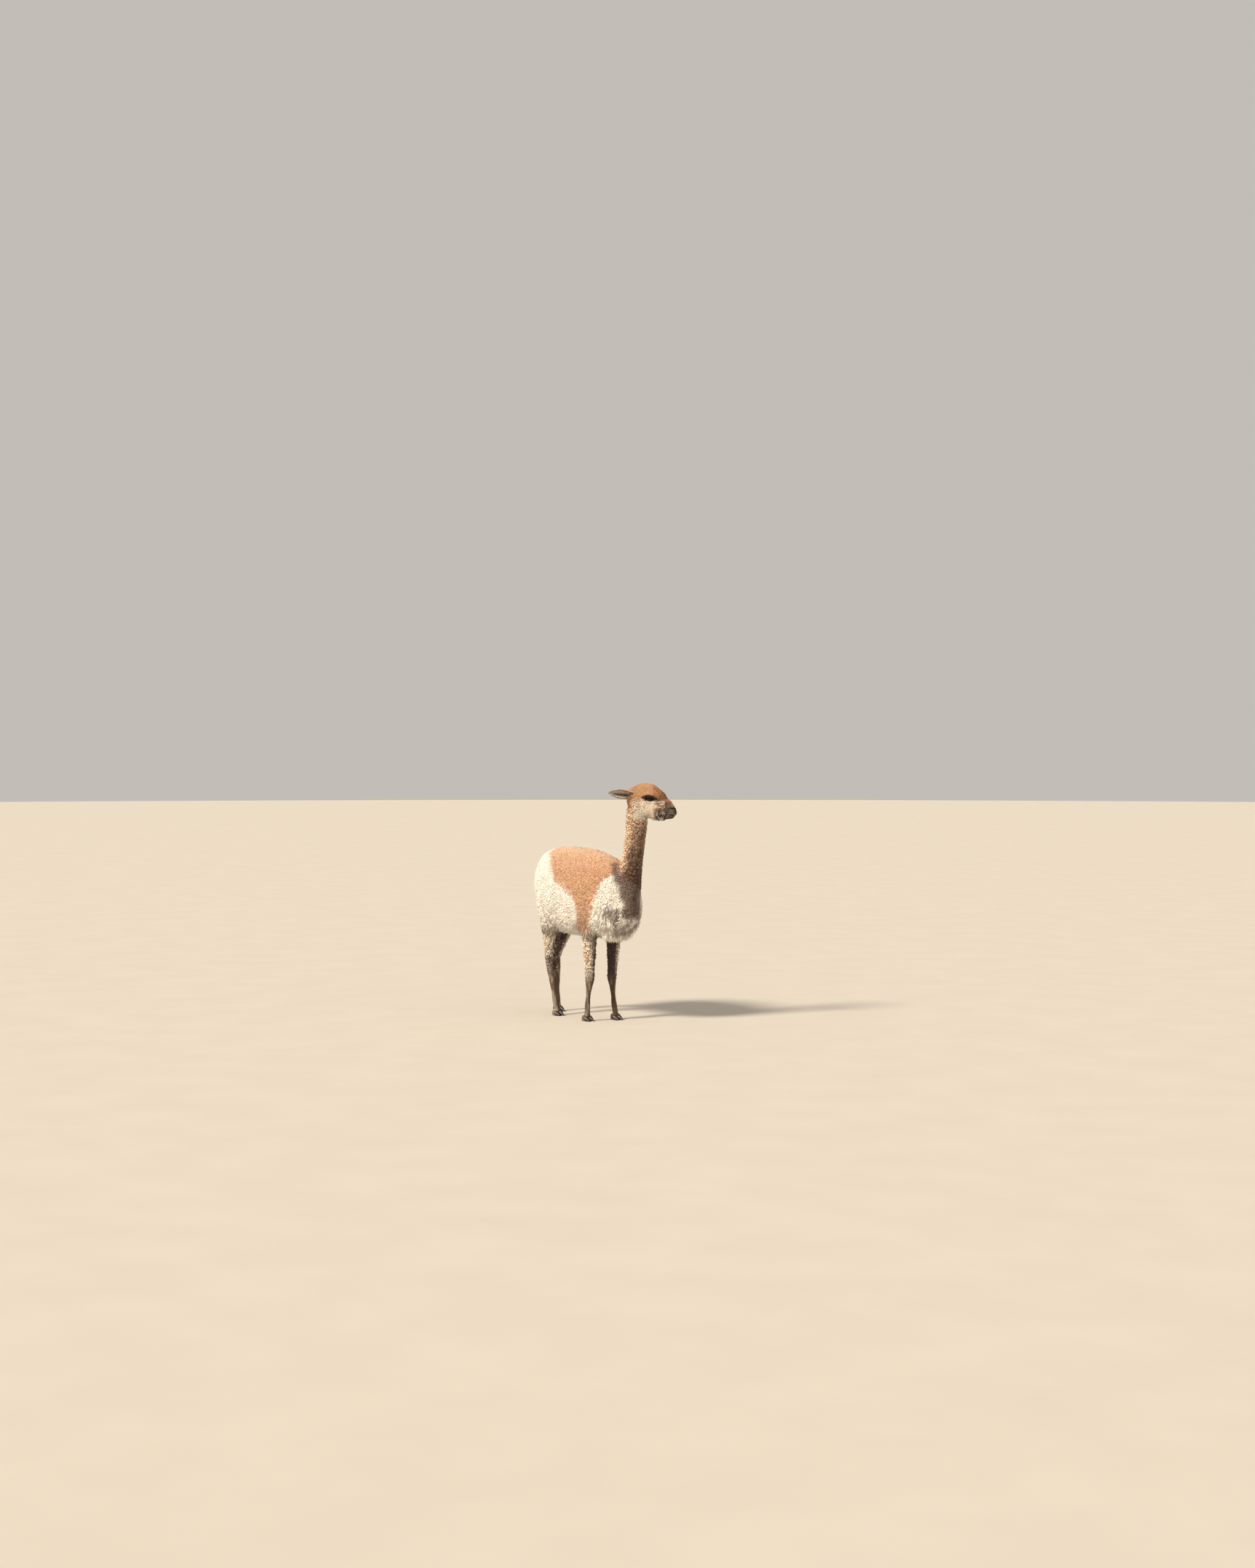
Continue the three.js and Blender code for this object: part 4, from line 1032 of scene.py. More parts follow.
def tapered_tubes(line, shares, normals, look, random):
    """A three-sided tube along each line, `flat` times as thick as wide, that narrows to its tip."""
    count, rings = len(line), len(shares) - 1
    tangents = unit(np.gradient(line, axis=1))
    across = unit(np.cross(tangents, normals[:, None]))
    roll = random.uniform(-0.5, 0.5, count)[:, None, None]
    across = across * np.cos(roll) + np.cross(across, tangents) * np.sin(roll)
    up = np.cross(across, tangents)
    profile = (0.8 + 0.6 * shares) * (1 - shares) ** look["taper"][:, None]
    width = (look["width"] * random.uniform(0.75, 1.25, count))[:, None] * profile
    corners = []
    for corner in range(3):
        angle = 2 * np.pi * corner / 3 + np.pi / 2
        offset = across * math.cos(angle) * 0.58 + up * math.sin(angle) * 0.58 * look["flat"][:, None, None]
        corners.append(line[:, :-1] + offset[:, :-1] * width[:, :-1, None])
    body = np.stack(corners, 2).reshape(count, rings * 3, 3)
    return np.concatenate([body, line[:, -1:]], 1)


def tuft_arrays(roots, normals, lies, look, rings, seed):
    """The points of all tufts, none below the floor, the share of each point from root to tip, and each
    clump's number."""
    count = len(roots)
    random = np.random.default_rng(seed)
    look = {name: np.broadcast_to(np.asarray(value, float), (count,)) for name, value in look.items()}
    centre, number = clump_of(roots, look["clump"].mean(), seed)
    lies = combed(lies, normals, look, number, random)
    length = look["length"] * random.uniform(0.8, 1.15, count) * (0.8 + 0.4 * number)
    line, shares = grown_lines(roots, normals, lies, look, length, rings)
    line = gathered(line, shares, roots, normals, centre, look)
    line = curled(line, shares, normals, sideways(normals, lies), look, length, number, random)
    points = tapered_tubes(line, shares, normals, look, random)
    points[..., 2] = np.maximum(points[..., 2], FLOOR_GAP)
    tips = np.concatenate([np.repeat(shares[:-1], 3), [1.0]])
    return points, tips, number, random


def tuft_faces(rings):
    """Triangles of one tuft: a cap at the root, three walls between rings and a fan to the tip."""
    faces = [(0, 2, 1)]
    for ring in range(rings - 1):
        for corner in range(3):
            a, b = ring * 3 + corner, ring * 3 + (corner + 1) % 3
            faces += [(a, b, b + 3), (a, b + 3, a + 3)]
    last = (rings - 1) * 3
    faces += [(last + corner, last + (corner + 1) % 3, rings * 3) for corner in range(3)]
    return np.array(faces)


def tuft_mesh(name, roots, normals, lies, look, rings, seed, colours, places, tone=0.12):
    """Joins all tufts of a piece in one mesh, with colours, root-to-tip shares and the unwrap for baking."""
    points, tips, number, random = tuft_arrays(roots, normals, lies, look, rings, seed)
    count, each = points.shape[:2]
    faces = tuft_faces(rings)
    joined = (faces[None] + (np.arange(count) * each)[:, None, None]).reshape(-1, 3)
    mesh = mesh_from(name, points.reshape(-1, 3), joined)
    change = 1 + tone * (random.uniform(-1, 1, count) * 0.6 + (number - 0.5) * 1.4)
    paint(mesh, "Coat", np.repeat(colours * change[:, None], each, axis=0))
    value_layer(mesh, "Tip", np.tile(tips, count))
    across = np.tile((np.arange(each) % 3 - 1) * 0.5, count)
    along = np.tile(tips - 0.5, count)
    spots = np.repeat(places, each, axis=0) + np.stack([across, along], -1) * BAKE_PATCH
    layer = mesh.uv_layers.new(name="OFBake")
    layer.data.foreach_set("uv", spots[joined.ravel()].astype(np.float32).ravel())
    return mesh


# The skin
def face_relief(points, normals):
    """Moves the head's skin along its normals by soft bumps and hollows: brow, eye socket, nostril, lips."""
    forward, outward, up = head_frame(points)
    moved = np.zeros(len(points))
    for place, spread, height in RELIEFS.values():
        apart = ((forward - place[0]) / spread[0]) ** 2 + ((outward - place[1]) / spread[1]) ** 2
        apart = apart + ((up - place[2]) / spread[2]) ** 2
        moved += height * np.exp(-apart)
    line = mouth_height(forward)
    groove = np.exp(-(((up - line) / MOUTH["groove"]) ** 2))
    moved -= MOUTH["depth"] * (groove * smooth(forward, MOUTH["corner"] - 4, MOUTH["corner"] + 12))
    mine = np.exp(-np.maximum(np.linalg.norm(points - HEAD_PLACE, axis=-1) - HEAD_REACH, 0) / HEAD_FADE)
    return points + normals * (moved * MM * mine)[:, None]


def open_eyes(points):
    """Presses the skin in between the lids, so that the eyeball shows, and raises it round them."""
    forward, outward, up = head_frame(points)
    place = EYE["place"]
    along = (forward - place[0]) * math.cos(EYE["tilt"]) + (up - place[2]) * math.sin(EYE["tilt"])
    rise = -(forward - place[0]) * math.sin(EYE["tilt"]) + (up - place[2]) * math.cos(EYE["tilt"])
    almond = np.sqrt((along / (EYE["width"] / 2)) ** 2 + (rise / (EYE["height"] / 2)) ** 2)
    side = np.sign((points - HEAD_PLACE) @ HEAD_LEFT)
    inward = smooth(-almond, -1.0, -0.86) * (outward > EYE["place"][1] / 2 - 1)
    change = (place[1] + 3 - outward) * inward
    return points + (side * change * MM)[:, None] * HEAD_LEFT


def lid_line(angle):
    """The almond between the lids, from the eye's centre: an oval with pointed ends, higher above than below,
    laid on a ball a little larger than the eye."""
    tilt = EYE["tilt"]
    along = np.cos(angle) * (EYE["width"] / 2 - 0.5)
    shape = np.where(np.sin(angle) > 0, 1.0, 0.84)
    rise = np.sign(np.sin(angle)) * np.abs(np.sin(angle)) ** 1.2 * (EYE["height"] / 2) * shape
    forward = along * math.cos(tilt) - rise * math.sin(tilt)
    up = along * math.sin(tilt) + rise * math.cos(tilt)
    ball_radius = EYE["radius"] + 1.2
    out = np.sqrt(np.maximum(ball_radius**2 - forward**2 - up**2, 4.0))
    return np.stack([forward, out, up], -1)


def lid_rings(side):
    """Thick lids: a tube along the almond between them, thicker above."""
    angle = np.linspace(0, 2 * np.pi, 64, endpoint=False)
    centre = lid_line(angle)
    thick = np.where(np.sin(angle) > 0, 3.2, 1.9) * (0.75 + 0.25 * np.abs(np.sin(angle)))
    outward = unit(centre)
    beside = unit(np.cross(unit(np.roll(centre, -1, 0) - np.roll(centre, 1, 0)), outward))
    turn = np.linspace(0, 2 * np.pi, 10, endpoint=False)
    grid = (
        centre[:, None]
        + np.cos(turn)[None, :, None] * beside[:, None] * thick[:, None, None]
        + np.sin(turn)[None, :, None] * outward[:, None] * thick[:, None, None] * 0.8
    )
    return ring_surface(HEAD_PLACE + head_vector((grid + np.array(EYE["place"])) * MM, side))


def relaxed(points, edges, rounds, share):
    """Moves each point towards the mean of its neighbours by a share, several times over."""
    count = np.bincount(edges.ravel(), minlength=len(points)).astype(float)
    for _ in range(rounds):
        total = np.zeros_like(points)
        for axis in range(3):
            total[:, axis] = np.bincount(edges[:, 0], points[edges[:, 1], axis], len(points)) + np.bincount(
                edges[:, 1], points[edges[:, 0], axis], len(points)
            )
        mean = total / np.maximum(count, 1)[:, None]
        points = points + (mean - points) * share
    return points


def arrays_of(mesh):
    """Vertices, triangles, edges and vertex normals of a mesh as arrays, in the body's frame."""
    mesh.calc_loop_triangles()
    points = np.empty(len(mesh.vertices) * 3, np.float32)
    mesh.vertices.foreach_get("co", points)
    faces = np.empty(len(mesh.loop_triangles) * 3, np.int32)
    mesh.loop_triangles.foreach_get("vertices", faces)
    edges = np.empty(len(mesh.edges) * 2, np.int32)
    mesh.edges.foreach_get("vertices", edges)
    normals = np.empty(len(mesh.vertices) * 3, np.float32)
    mesh.vertices.foreach_get("normal", normals)
    return (
        points.reshape(-1, 3).astype(float) - SHIFT,
        faces.reshape(-1, 3),
        edges.reshape(-1, 2),
        normals.reshape(-1, 3).astype(float),
    )


def applied(piece):
    """Replaces a piece's mesh by what its modifiers make of it."""
    graph = bpy.context.evaluated_depsgraph_get()
    made = bpy.data.meshes.new_from_object(piece.evaluated_get(graph))
    piece.modifiers.clear()
    old = piece.data
    piece.data = made
    bpy.data.meshes.remove(old)
    return made


def flesh_shells():
    """The closed shells that the skin is made of: limbs, cheeks, lips, nose, eye sockets and toes."""
    shells = [limb.surface(90, 72) for limb in LIMBS.values()]
    axes = (HEAD_FORWARD, HEAD_LEFT, Z)
    for side in (-1, 1):
        socket = (EYE["radius"] + EYE["lid"]) * MM
        shells.append(ball(on_head(EYE["place"], side), (socket,) * 3, axes))
        for place, size in (CHEEK, UPPER_LIP):
            shells.append(ball(on_head(place, side), np.array(size) * MM, axes))
    for place, size in (NOSE, LOWER_LIP):
        shells.append(ball(on_head(place), np.array(size) * MM, axes))
    for leg in LEGS:
        shells += [toe_shell(leg, toe_side, 0.0, 1.0, -1.2) for toe_side in (-1, 1)]
    return shells


def make_skin(settings):
    """One skin over all limbs: the shells are fused by a voxel remesh, thinned away from the head and the
    feet, smoothed and given the face's relief."""
    points, faces = merged(flesh_shells())
    piece = bpy.data.objects.new("skin", mesh_from("skin", points, faces))
    bpy.context.scene.collection.objects.link(piece)
    remesh = piece.modifiers.new("fuse", "REMESH")
    remesh.mode = "VOXEL"
    remesh.voxel_size = settings.voxel
    mesh = applied(piece)
    points = arrays_of(mesh)[0]
    away = smooth(np.linalg.norm(points - HEAD_PLACE, axis=-1), 0.15, 0.2) * smooth(points[:, 2], 0.06, 0.1)
    group = piece.vertex_groups.new(name="thin")
    for level in (0.5, 1.0):
        chosen = np.nonzero(away >= level)[0].tolist()
        group.add(chosen, level, "REPLACE")
    thin = piece.modifiers.new("thin", "DECIMATE")
    thin.ratio = settings.kept
    thin.vertex_group = "thin"
    thin.vertex_group_factor = 1.0
    mesh = applied(piece)
    piece.vertex_groups.clear()
    points, _, edges, _ = arrays_of(mesh)
    points = relaxed(points, edges, 6, 0.5)
    mesh.vertices.foreach_set("co", (points + SHIFT).astype(np.float32).ravel())
    mesh.update()
    points, faces, edges, normals = arrays_of(mesh)
    points = open_eyes(face_relief(points, normals))
    points = relaxed(points, edges, 1, 0.3)
    bpy.data.objects.remove(piece)
    return points, faces


skin_store = {}


def skin_surface():
    """The skin as a surface to grow on, or an error if the skin isn't made yet."""
    if "surface" not in skin_store:
        raise RuntimeError("the skin is made before the wool that grows on it")
    return skin_store["surface"]


def lie_of(points, weights):
    """Which way the wool lies: back and down on trunk and head, and down on neck, legs and tail."""
    toward = {
        "torso": np.array([-0.75, 0.0, -0.75]),
        "neck": np.array([-0.25, 0.0, -1.0]),
        "head": -HEAD_FORWARD - 0.55 * Z,
        "tail": -Z,
    }
    lie = np.zeros_like(points)
    for index, name in enumerate(NAMES):
        lie += weights[:, index : index + 1] * toward.get(name, -Z)
    swirl = np.stack([noise(points, 0.06, seed) for seed in (21, 22, 23)], -1)
    return lie + swirl * 0.45


def grow(name, region, count, look, rings, seed, material, slot, tone=0.12):
    """Scatters tufts where region() gives a density, shapes them by look() and joins them in one piece."""
    surface = skin_surface()
    density = region(surface.middle, skin_store["weights"])
    roots, normals = surface.scatter(density, count, seed)
    weights, located = parts_of(roots)
    colours = coat_colour(roots, weights, located)
    lies = lie_of(roots, weights)
    places = unwrapped(weights, located)
    mesh = tuft_mesh(name, roots, normals, lies, look(roots), rings, seed, colours, places, tone)
    add_object(name, mesh, wool(material))


def share_of(weights, *names):
    """How much the named limbs own each point."""
    return weights[:, [NAMES.index(name) for name in names]].sum(-1)


def look_of(length, width, clump, **changes):
    """How tufts are shaped: length, width and clump size in millimetres, and what differs from a plain lock.
    `flat` is thickness to width, `taper` the power of its narrowing, `stand` and `settle` its angles to the
    skin at root and tip, `droop` how much it hangs, `spread` and `tangle` how far it turns by itself and with
    its clump, `gather` how far its tip moves to the clump's middle, and `curl` and `turns` the size and
    number of its waves."""
    plain = {
        "flat": 0.5, "taper": 0.7, "stand": 0.5, "settle": 0.1, "droop": 0.7, "spread": 0.3, "tangle": 0.15,
        "gather": 0.8, "curl": 0.05, "turns": 0.9,
    }
    return {**plain, **changes, "length": length * MM, "width": width * MM, "clump": clump * MM}


def fleece_look(points):
    """Short tight curls on back and flank, and longer shaggy locks low on haunch and belly."""
    depth = noise(points, 0.05, 61) * 30 - points[:, 2] / MM
    low = smooth(depth, -620, -500)
    pale = smooth(depth, -860, -620)
    return look_of(
        12 + 3 * pale + 22 * low, 5.3 + 0.4 * pale + 0.9 * low, 9.5,
        taper=0.4 + 0.3 * low, stand=0.9 - 0.1 * low, settle=0.15, droop=0.05 + 0.55 * low, spread=0.6,
        tangle=0.6 - 0.25 * low, gather=0.4 + 0.25 * low, curl=0.14 - 0.03 * low,
    )


def bib_look(points):
    """Shaggy crimped locks that hang from the breast and end in ragged points."""
    x, _, z = (points / MM).T
    reach = np.clip(60 - (z - 520) * 0.16, 30, 62) - 24 * smooth(x, 300, 370)
    reach = reach * (0.32 + 0.68 * smooth(x - (z - 520) * 0.3, 190, 285))
    return look_of(reach, 4.5 + reach * 0.06, 22, stand=0.8, spread=0.4, tangle=0.35, curl=0.09, turns=1.5)


def neck_look(points):
    """Tight curls in short upright nubs."""
    return look_of(
        13.5, 5.8, 13,
        flat=0.6, taper=0.3, stand=1.15, settle=0.2, droop=0.1, spread=0.5, tangle=0.6, gather=0.9, curl=0.14,
    )


def upper_leg_look(points):
    """Curly wool in hanging ringlets that shortens towards knee and hock."""
    z = points[:, 2] / MM
    length = 11 + 9 * smooth(z, 260, 430) + 6 * smooth(z, 450, 600)
    return look_of(
        length, 4.2 + 1.8 * smooth(z, 280, 460), 14,
        flat=0.6, taper=0.45, stand=1.0, droop=0.35, spread=0.4, tangle=0.6, gather=0.85, curl=0.2, turns=1.1,
    )


def lower_leg_look(points):
    """Short flat hair."""
    z = points[:, 2] / MM
    return look_of(9 + 5 * smooth(z, 150, 300), 3.3, 8, droop=0.2, gather=0.4, turns=0.8)


def head_look(points):
    """Velvety wool on dome and cheeks, which stands up over the brow, and short hair on the muzzle."""
    forward, _, up = head_frame(points)
    front = smooth(forward, 0, 60)
    tip = smooth(forward, 92, 112)
    brow = smooth(forward, 40, 70) * smooth(-forward, -94, -84) * smooth(up, -6, 10)
    behind = smooth(-forward, 50, 100)
    round_eye = np.hypot((forward - EYE["place"][0]) / 52, (up - EYE["place"][2]) / 26)
    length = 6.8 - 1.3 * front - 2.0 * tip + 4.0 * brow + 5 * behind
    length = length * (1 - 0.45 * smooth(-round_eye, -1.0, -0.8))
    return look_of(
        length, 2.5 - 0.6 * front - 0.3 * tip + 1.2 * behind, 5.5,
        flat=0.42, taper=0.5, stand=0.95 - 0.4 * front - 0.2 * tip + 0.3 * brow, settle=0.35 - 0.25 * front,
        droop=0.03, spread=0.5, tangle=0.45 - 0.3 * front, gather=0.4, curl=0.1,
    )


def jaw_look(points):
    """Wet pointed locks that hang along the jaw."""
    return look_of(15, 3.2, 6.5, taper=0.6, droop=0.6, turns=0.7)


def tail_look(points):
    """Shaggy hanging locks, which shorten to the tail's tip."""
    length = np.clip((points[:, 2] / MM - 632) * 0.7, 16, 52)
    return look_of(length, 7.0, 18, stand=0.6, tangle=0.25, gather=0.7, curl=0.08, turns=1.3)


# Sizes and colours that a user would change
def colour_setting(name, description, hex_colour):
    """A colour with its default from an sRGB hex value."""
    return bpy.props.FloatVectorProperty(
        name=name, description=description, default=linear(hex_colour).tolist(), subtype="COLOR", size=3
    )


def tuft_setting(name, where, default):
    """How many tufts a piece has."""
    return bpy.props.IntProperty(name=name, description=f"Number of tufts {where}", default=default, min=1)


class SkinSettings(bpy.types.PropertyGroup):
    voxel: bpy.props.FloatProperty(
        name="Grain", description="Size of the cells that fuse the skin", default=0.0027, unit="LENGTH"
    )
    kept: bpy.props.FloatProperty(
        name="Kept", description="Share of the faces kept on the body", default=0.28, subtype="FACTOR"
    )


class ColourSettings(bpy.types.PropertyGroup):
    __annotations__ = {
        name: colour_setting(name.replace("_", " ").capitalize(), where, value)
        for name, (value, where) in COLOURS.items()
    }


class CoatSettings(bpy.types.PropertyGroup):
    trunk_tufts: tuft_setting("Trunk", "on back, flank and haunch", 65000)
    bib_tufts: tuft_setting("Bib", "on the breast", 4000)
    neck_tufts: tuft_setting("Neck", "on the neck", 15000)
    thigh_tufts: tuft_setting("Upper legs", "above knee and hock", 12000)
    shank_tufts: tuft_setting("Lower legs", "below knee and hock", 8000)
    head_tufts: tuft_setting("Head", "on the head", 19500)
    jaw_tufts: tuft_setting("Jaw", "along the jaw", 1500)
    ear_tufts: tuft_setting("Ears", "on each ear", 1900)
    lashes: tuft_setting("Lashes", "on each upper lid", 150)
    tail_tufts: tuft_setting("Tail", "on the tail", 2000)


class StageSettings(bpy.types.PropertyGroup):
    key_strength: bpy.props.FloatProperty(
        name="Key light", description="Strength of the large soft light", default=4.7
    )
    room_strength: bpy.props.FloatProperty(
        name="Room light", description="Strength of the even light of the room", default=0.66
    )
    room_colour: colour_setting("Room colour", "Colour of the even light of the room", "#E9E4DC")
    floor_shade: colour_setting("Floor shade", "Darker tone of the floor's paint", "#BEB6AA")
    floor_light: colour_setting("Floor light", "Lighter tone of the floor's paint", "#C6BEB2")


FLESH_NODES = ["head", "neck", "torso", "tail"]
FLESH_NODES += [f"{leg}_{part}" for leg in LEGS for part in ("upper", "lower", "foot")]


# Pieces
def lay_floor(settings):
    """A flat disc of triangles round its middle."""
    angles = np.linspace(0, 2 * np.pi, FLOOR_SIDES, endpoint=False)
    rim = np.stack([np.cos(angles), np.sin(angles), 0 * angles], -1) * FLOOR_RADIUS
    here = np.arange(FLOOR_SIDES)
    faces = np.stack([here, (here + 1) % FLOOR_SIDES, np.full(FLOOR_SIDES, FLOOR_SIDES)], -1)
    mesh = mesh_from("floor", np.vstack([rim, [[0, 0, 0]]]), faces, shifted=False)
    add_object("floor", mesh, floor_material(settings), stage=True)


def light_room(settings, right, back):
    """Even light from all round, one large soft lamp and a faint one that fills its shadows."""
    world = bpy.data.worlds.new("studio")
    world.use_nodes = True
    background = world.node_tree.nodes["Background"]
    background.inputs["Color"].default_value = (*settings.room_colour, 1)
    background.inputs["Strength"].default_value = settings.room_strength
    bpy.context.scene.world = world
    for name, (way, spread, share, colour) in LAMPS.items():
        light = bpy.data.lights.new(name, "SUN")
        light.angle = math.radians(spread)
        light.energy = settings.key_strength * share
        light.color = linear(colour)
        lamp = bpy.data.objects.new(name, light)
        bpy.context.scene.collection.objects.link(lamp)
        toward = right * way[0] + back * way[1] + Z * way[2]
        lamp.location = toward * LAMP_DISTANCE
        look_at(lamp, -toward)


def look_at(lamp, direction):
    """Turns a lamp so that it shines along a direction."""
    flat = math.hypot(direction[0], direction[1])
    heading = math.atan2(direction[1], direction[0]) - math.pi / 2
    lamp.rotation_euler = (math.atan2(flat, -direction[2]), 0, heading)


def place_camera(right, back):
    """The camera at the photograph's height, distance and angle."""
    camera = bpy.data.cameras.new("camera")
    camera.lens = LENS_MM
    camera.sensor_width = SENSOR_MM
    camera.clip_end = FAR_CLIP
    eye = bpy.data.objects.new("camera", camera)
    bpy.context.scene.collection.objects.link(eye)
    eye.location = SHIFT * (1, 1, 0) + right * CAMERA_ASIDE + back * CAMERA_DISTANCE + Z * CAMERA_HEIGHT
    eye.rotation_euler = (math.pi / 2 + CAMERA_PITCH, 0, CAMERA_AZIMUTH)
    bpy.context.scene.camera = eye


class VICUNA_OT_stage(bpy.types.Operator):
    """Pale floor, soft lights and the camera"""

    bl_idname = "vicuna.stage"
    bl_label = "Stage"

    def execute(self, context):
        settings = context.scene.vicuna_stage
        right = np.array([math.cos(CAMERA_AZIMUTH), math.sin(CAMERA_AZIMUTH), 0])
        back = np.array([math.sin(CAMERA_AZIMUTH), -math.cos(CAMERA_AZIMUTH), 0])
        lay_floor(settings)
        light_room(settings, right, back)
        place_camera(right, back)
        context.scene.view_settings.view_transform = "Standard"
        return {"FINISHED"}


class VICUNA_OT_skin(bpy.types.Operator):
    """One skin over head, neck, trunk, tail and legs, with lids, lips and nostrils"""

    bl_idname = "vicuna.skin"
    bl_label = "Skin"

    def execute(self, context):
        for name in COLOURS:
            setattr(hue, name, np.array(getattr(context.scene.vicuna_colours, name)))
        points, faces = make_skin(context.scene.vicuna_skin)
        body = mesh_from("body_skin", points, faces)
        points, faces, _, normals = arrays_of(body)
        skin_store["surface"] = Surface(points, faces, normals)
        skin_store["weights"] = parts_of(skin_store["surface"].middle)[0]
        shells = [(points, faces)] + [lid_rings(side) for side in (-1, 1)]
        body_count = len(points)
        points, faces = merged(shells)
        mesh = mesh_from("skin", points, faces)
        bpy.data.meshes.remove(body)
        weights, located = parts_of(points)
        colour = coat_colour(points, weights, located)
        z = points[:, 2] / MM
        # Painted shade: the skin under the wool is darkened, standing for the shadow deep among the locks;
        # head and lower legs are left as they are
        bare = np.maximum(share_of(weights, "head"), smooth(-z, -300, -200))
        under = 0.42 + 0.26 * share_of(weights, "torso")
        colour = colour * (under + (1 - under) * bare)[:, None]
        colour[body_count:] = hue.lid_rim
        paint(mesh, "Coat", colour)
        add_object("skin", mesh, hide_material(), FLESH_NODES)
        return {"FINISHED"}


class VICUNA_OT_eyes(bpy.types.Operator):
    """Both eyeballs, with a raised cornea"""

    bl_idname = "vicuna.eyes"
    bl_label = "Eyes"

    def execute(self, context):
        material = eye_material()
        for side, name in ((1, "left"), (-1, "right")):
            outward = unit(HEAD_LEFT * side + HEAD_FORWARD * 0.3)
            ahead = unit(HEAD_FORWARD - outward * (HEAD_FORWARD @ outward))
            centre = on_head(EYE["place"], side)
            points, faces = ball(centre, (EYE["radius"] * MM,) * 3, (ahead, Z, outward), 40, 64)
            apart = points - centre
            facing = unit(apart) @ outward
            points = points + outward * (smooth(facing, 0.6, 1.0) * 1.2 * MM)[:, None]
            mesh = mesh_from(f"eyeball_{name}", points, faces)
            wide = np.hypot(unit(apart) @ ahead / 1.25, unit(apart) @ Z)
            value_layer(mesh, "Ring", np.where(facing > 0, wide, 1.0))
            add_object(f"eyeball_{name}", mesh, material, [f"eye_{name}"])
        return {"FINISHED"}


class VICUNA_OT_nails(bpy.types.Operator):
    """Two nails on each foot"""

    bl_idname = "vicuna.nails"
    bl_label = "Nails"

    def execute(self, context):
        material = horn_material()
        for leg in LEGS:
            for toe_side in (-1, 1):
                which = "outer" if (toe_side > 0) == leg.endswith("left") else "inner"
                points, faces = toe_shell(leg, toe_side, TOE["nail_share"], 1.0, 0.9)
                name = f"{leg}_nail_{which}"
                mesh = mesh_from(f"horn_{name}", points, faces)
                add_object(f"horn_{name}", mesh, material, [name])
        return {"FINISHED"}


def ear_frame(side):
    """Start, direction along, direction across and direction of the opening of an ear."""
    along = unit(-HEAD_FORWARD + HEAD_LEFT * EAR["out"] * side + Z * EAR["lift"])
    opening = unit(HEAD_LEFT * side + HEAD_FORWARD * EAR["out"])
    broad = unit(np.cross(along, opening))
    opening = np.cross(broad, along)
    return on_head(EAR["root"], side) - along * EAR["sunk"] * MM, along, broad, opening


def ear_surface(side, rings=48, sides=40):
    """A thin cup: an arc of an oval, wider than half a turn at the root and narrower at the tip, and the same
    arc set in by the wall, joined at both rims. Its size swells and narrows along the ear."""
    start, along, broad, opening = ear_frame(side)
    share = np.linspace(0.03, 0.995, rings)[:, None]
    swell = np.sin(np.pi * np.minimum(1, 0.1 + share * 0.9)) ** 0.75
    reach = np.pi / 2 + 0.75 * (1 - smooth(share, 0.2, 0.75)) + 0.15
    turn = np.linspace(-1, 1, sides)[None]
    angle = -np.pi / 2 + turn * reach
    wall = EAR["wall"] * np.minimum(1, swell * 1.4)
    layers = []
    for inset, direction in ((0, 1), (wall, -1)):
        width = np.maximum(EAR["half_width"] * swell - inset, 0.1)
        deep = np.maximum(EAR["depth"] * swell - inset, 0.1)
        x = np.cos(angle) * width
        y = np.sin(angle) * deep
        layers.append((x[:, ::direction], y[:, ::direction]))
    x = np.concatenate([layer[0] for layer in layers], 1)
    y = np.concatenate([layer[1] for layer in layers], 1)
    far = (share * (EAR["length"] + EAR["sunk"])) + 0 * x
    grid = start + (far[..., None] * along + x[..., None] * broad + y[..., None] * opening) * MM
    points, faces = closed_tube(grid)
    inner = np.concatenate([np.zeros(sides), np.ones(sides)])
    inner = np.concatenate([np.tile(inner, rings), [0, 0]])
    shares = np.concatenate([np.repeat(share[:, 0], 2 * sides), [0, 1]])
    middle = np.concatenate([np.tile(np.concatenate([turn[0], turn[0][::-1]]), rings), [0, 0]])
    return points, faces, inner, shares, middle


class VICUNA_OT_ears(bpy.types.Operator):
    """Both ears, laid back, with short hair outside and long pale hair inside"""

    bl_idname = "vicuna.ears"
    bl_label = "Ears"

    def execute(self, context):
        hide = bpy.data.materials["short_haired_hide"]
        count = context.scene.vicuna_coat.ear_tufts
        for side, name in ((1, "left"), (-1, "right")):
            points, faces, inner, shares, middle = ear_surface(side)
            mesh = mesh_from(f"ear_shell_{name}", points, faces)
            paint(mesh, "Coat", ear_colour(points, inner, shares, middle))
            surface = Surface(points, faces, arrays_of(mesh)[3])
            add_object(f"ear_shell_{name}", mesh, hide, [f"ear_{name}"])
            roots, normals = surface.scatter(np.ones(len(faces)), count, 61 + side)
            along = ear_frame(side)[1]
            nearest = nearest_rows(roots, points)
            inside, share, turn = inner[nearest], shares[nearest], middle[nearest]
            rim = smooth(np.abs(turn), 0.8, 1.0)
            look = look_of(
                6 + 5 * inside + 3 * rim, 2.3, 7,
                stand=0.45, settle=0.15, droop=0.0, tangle=0.1, gather=0.3, turns=0.7,
            )
            up = 0.66 + 0.12 * (turn * 0.5 + 0.5) + 0.14 * (side > 0)
            places = np.stack([0.82 + 0.16 * share, up], -1)
            tufts = tuft_mesh(
                f"ear_hair_{name}", roots, normals, np.tile(along, (len(roots), 1)), look, 2, 61 + side,
                ear_colour(roots, inside, share, turn), places,
            )
            add_object(f"ear_hair_{name}", tufts, wool("short_guard_hair"))
        return {"FINISHED"}


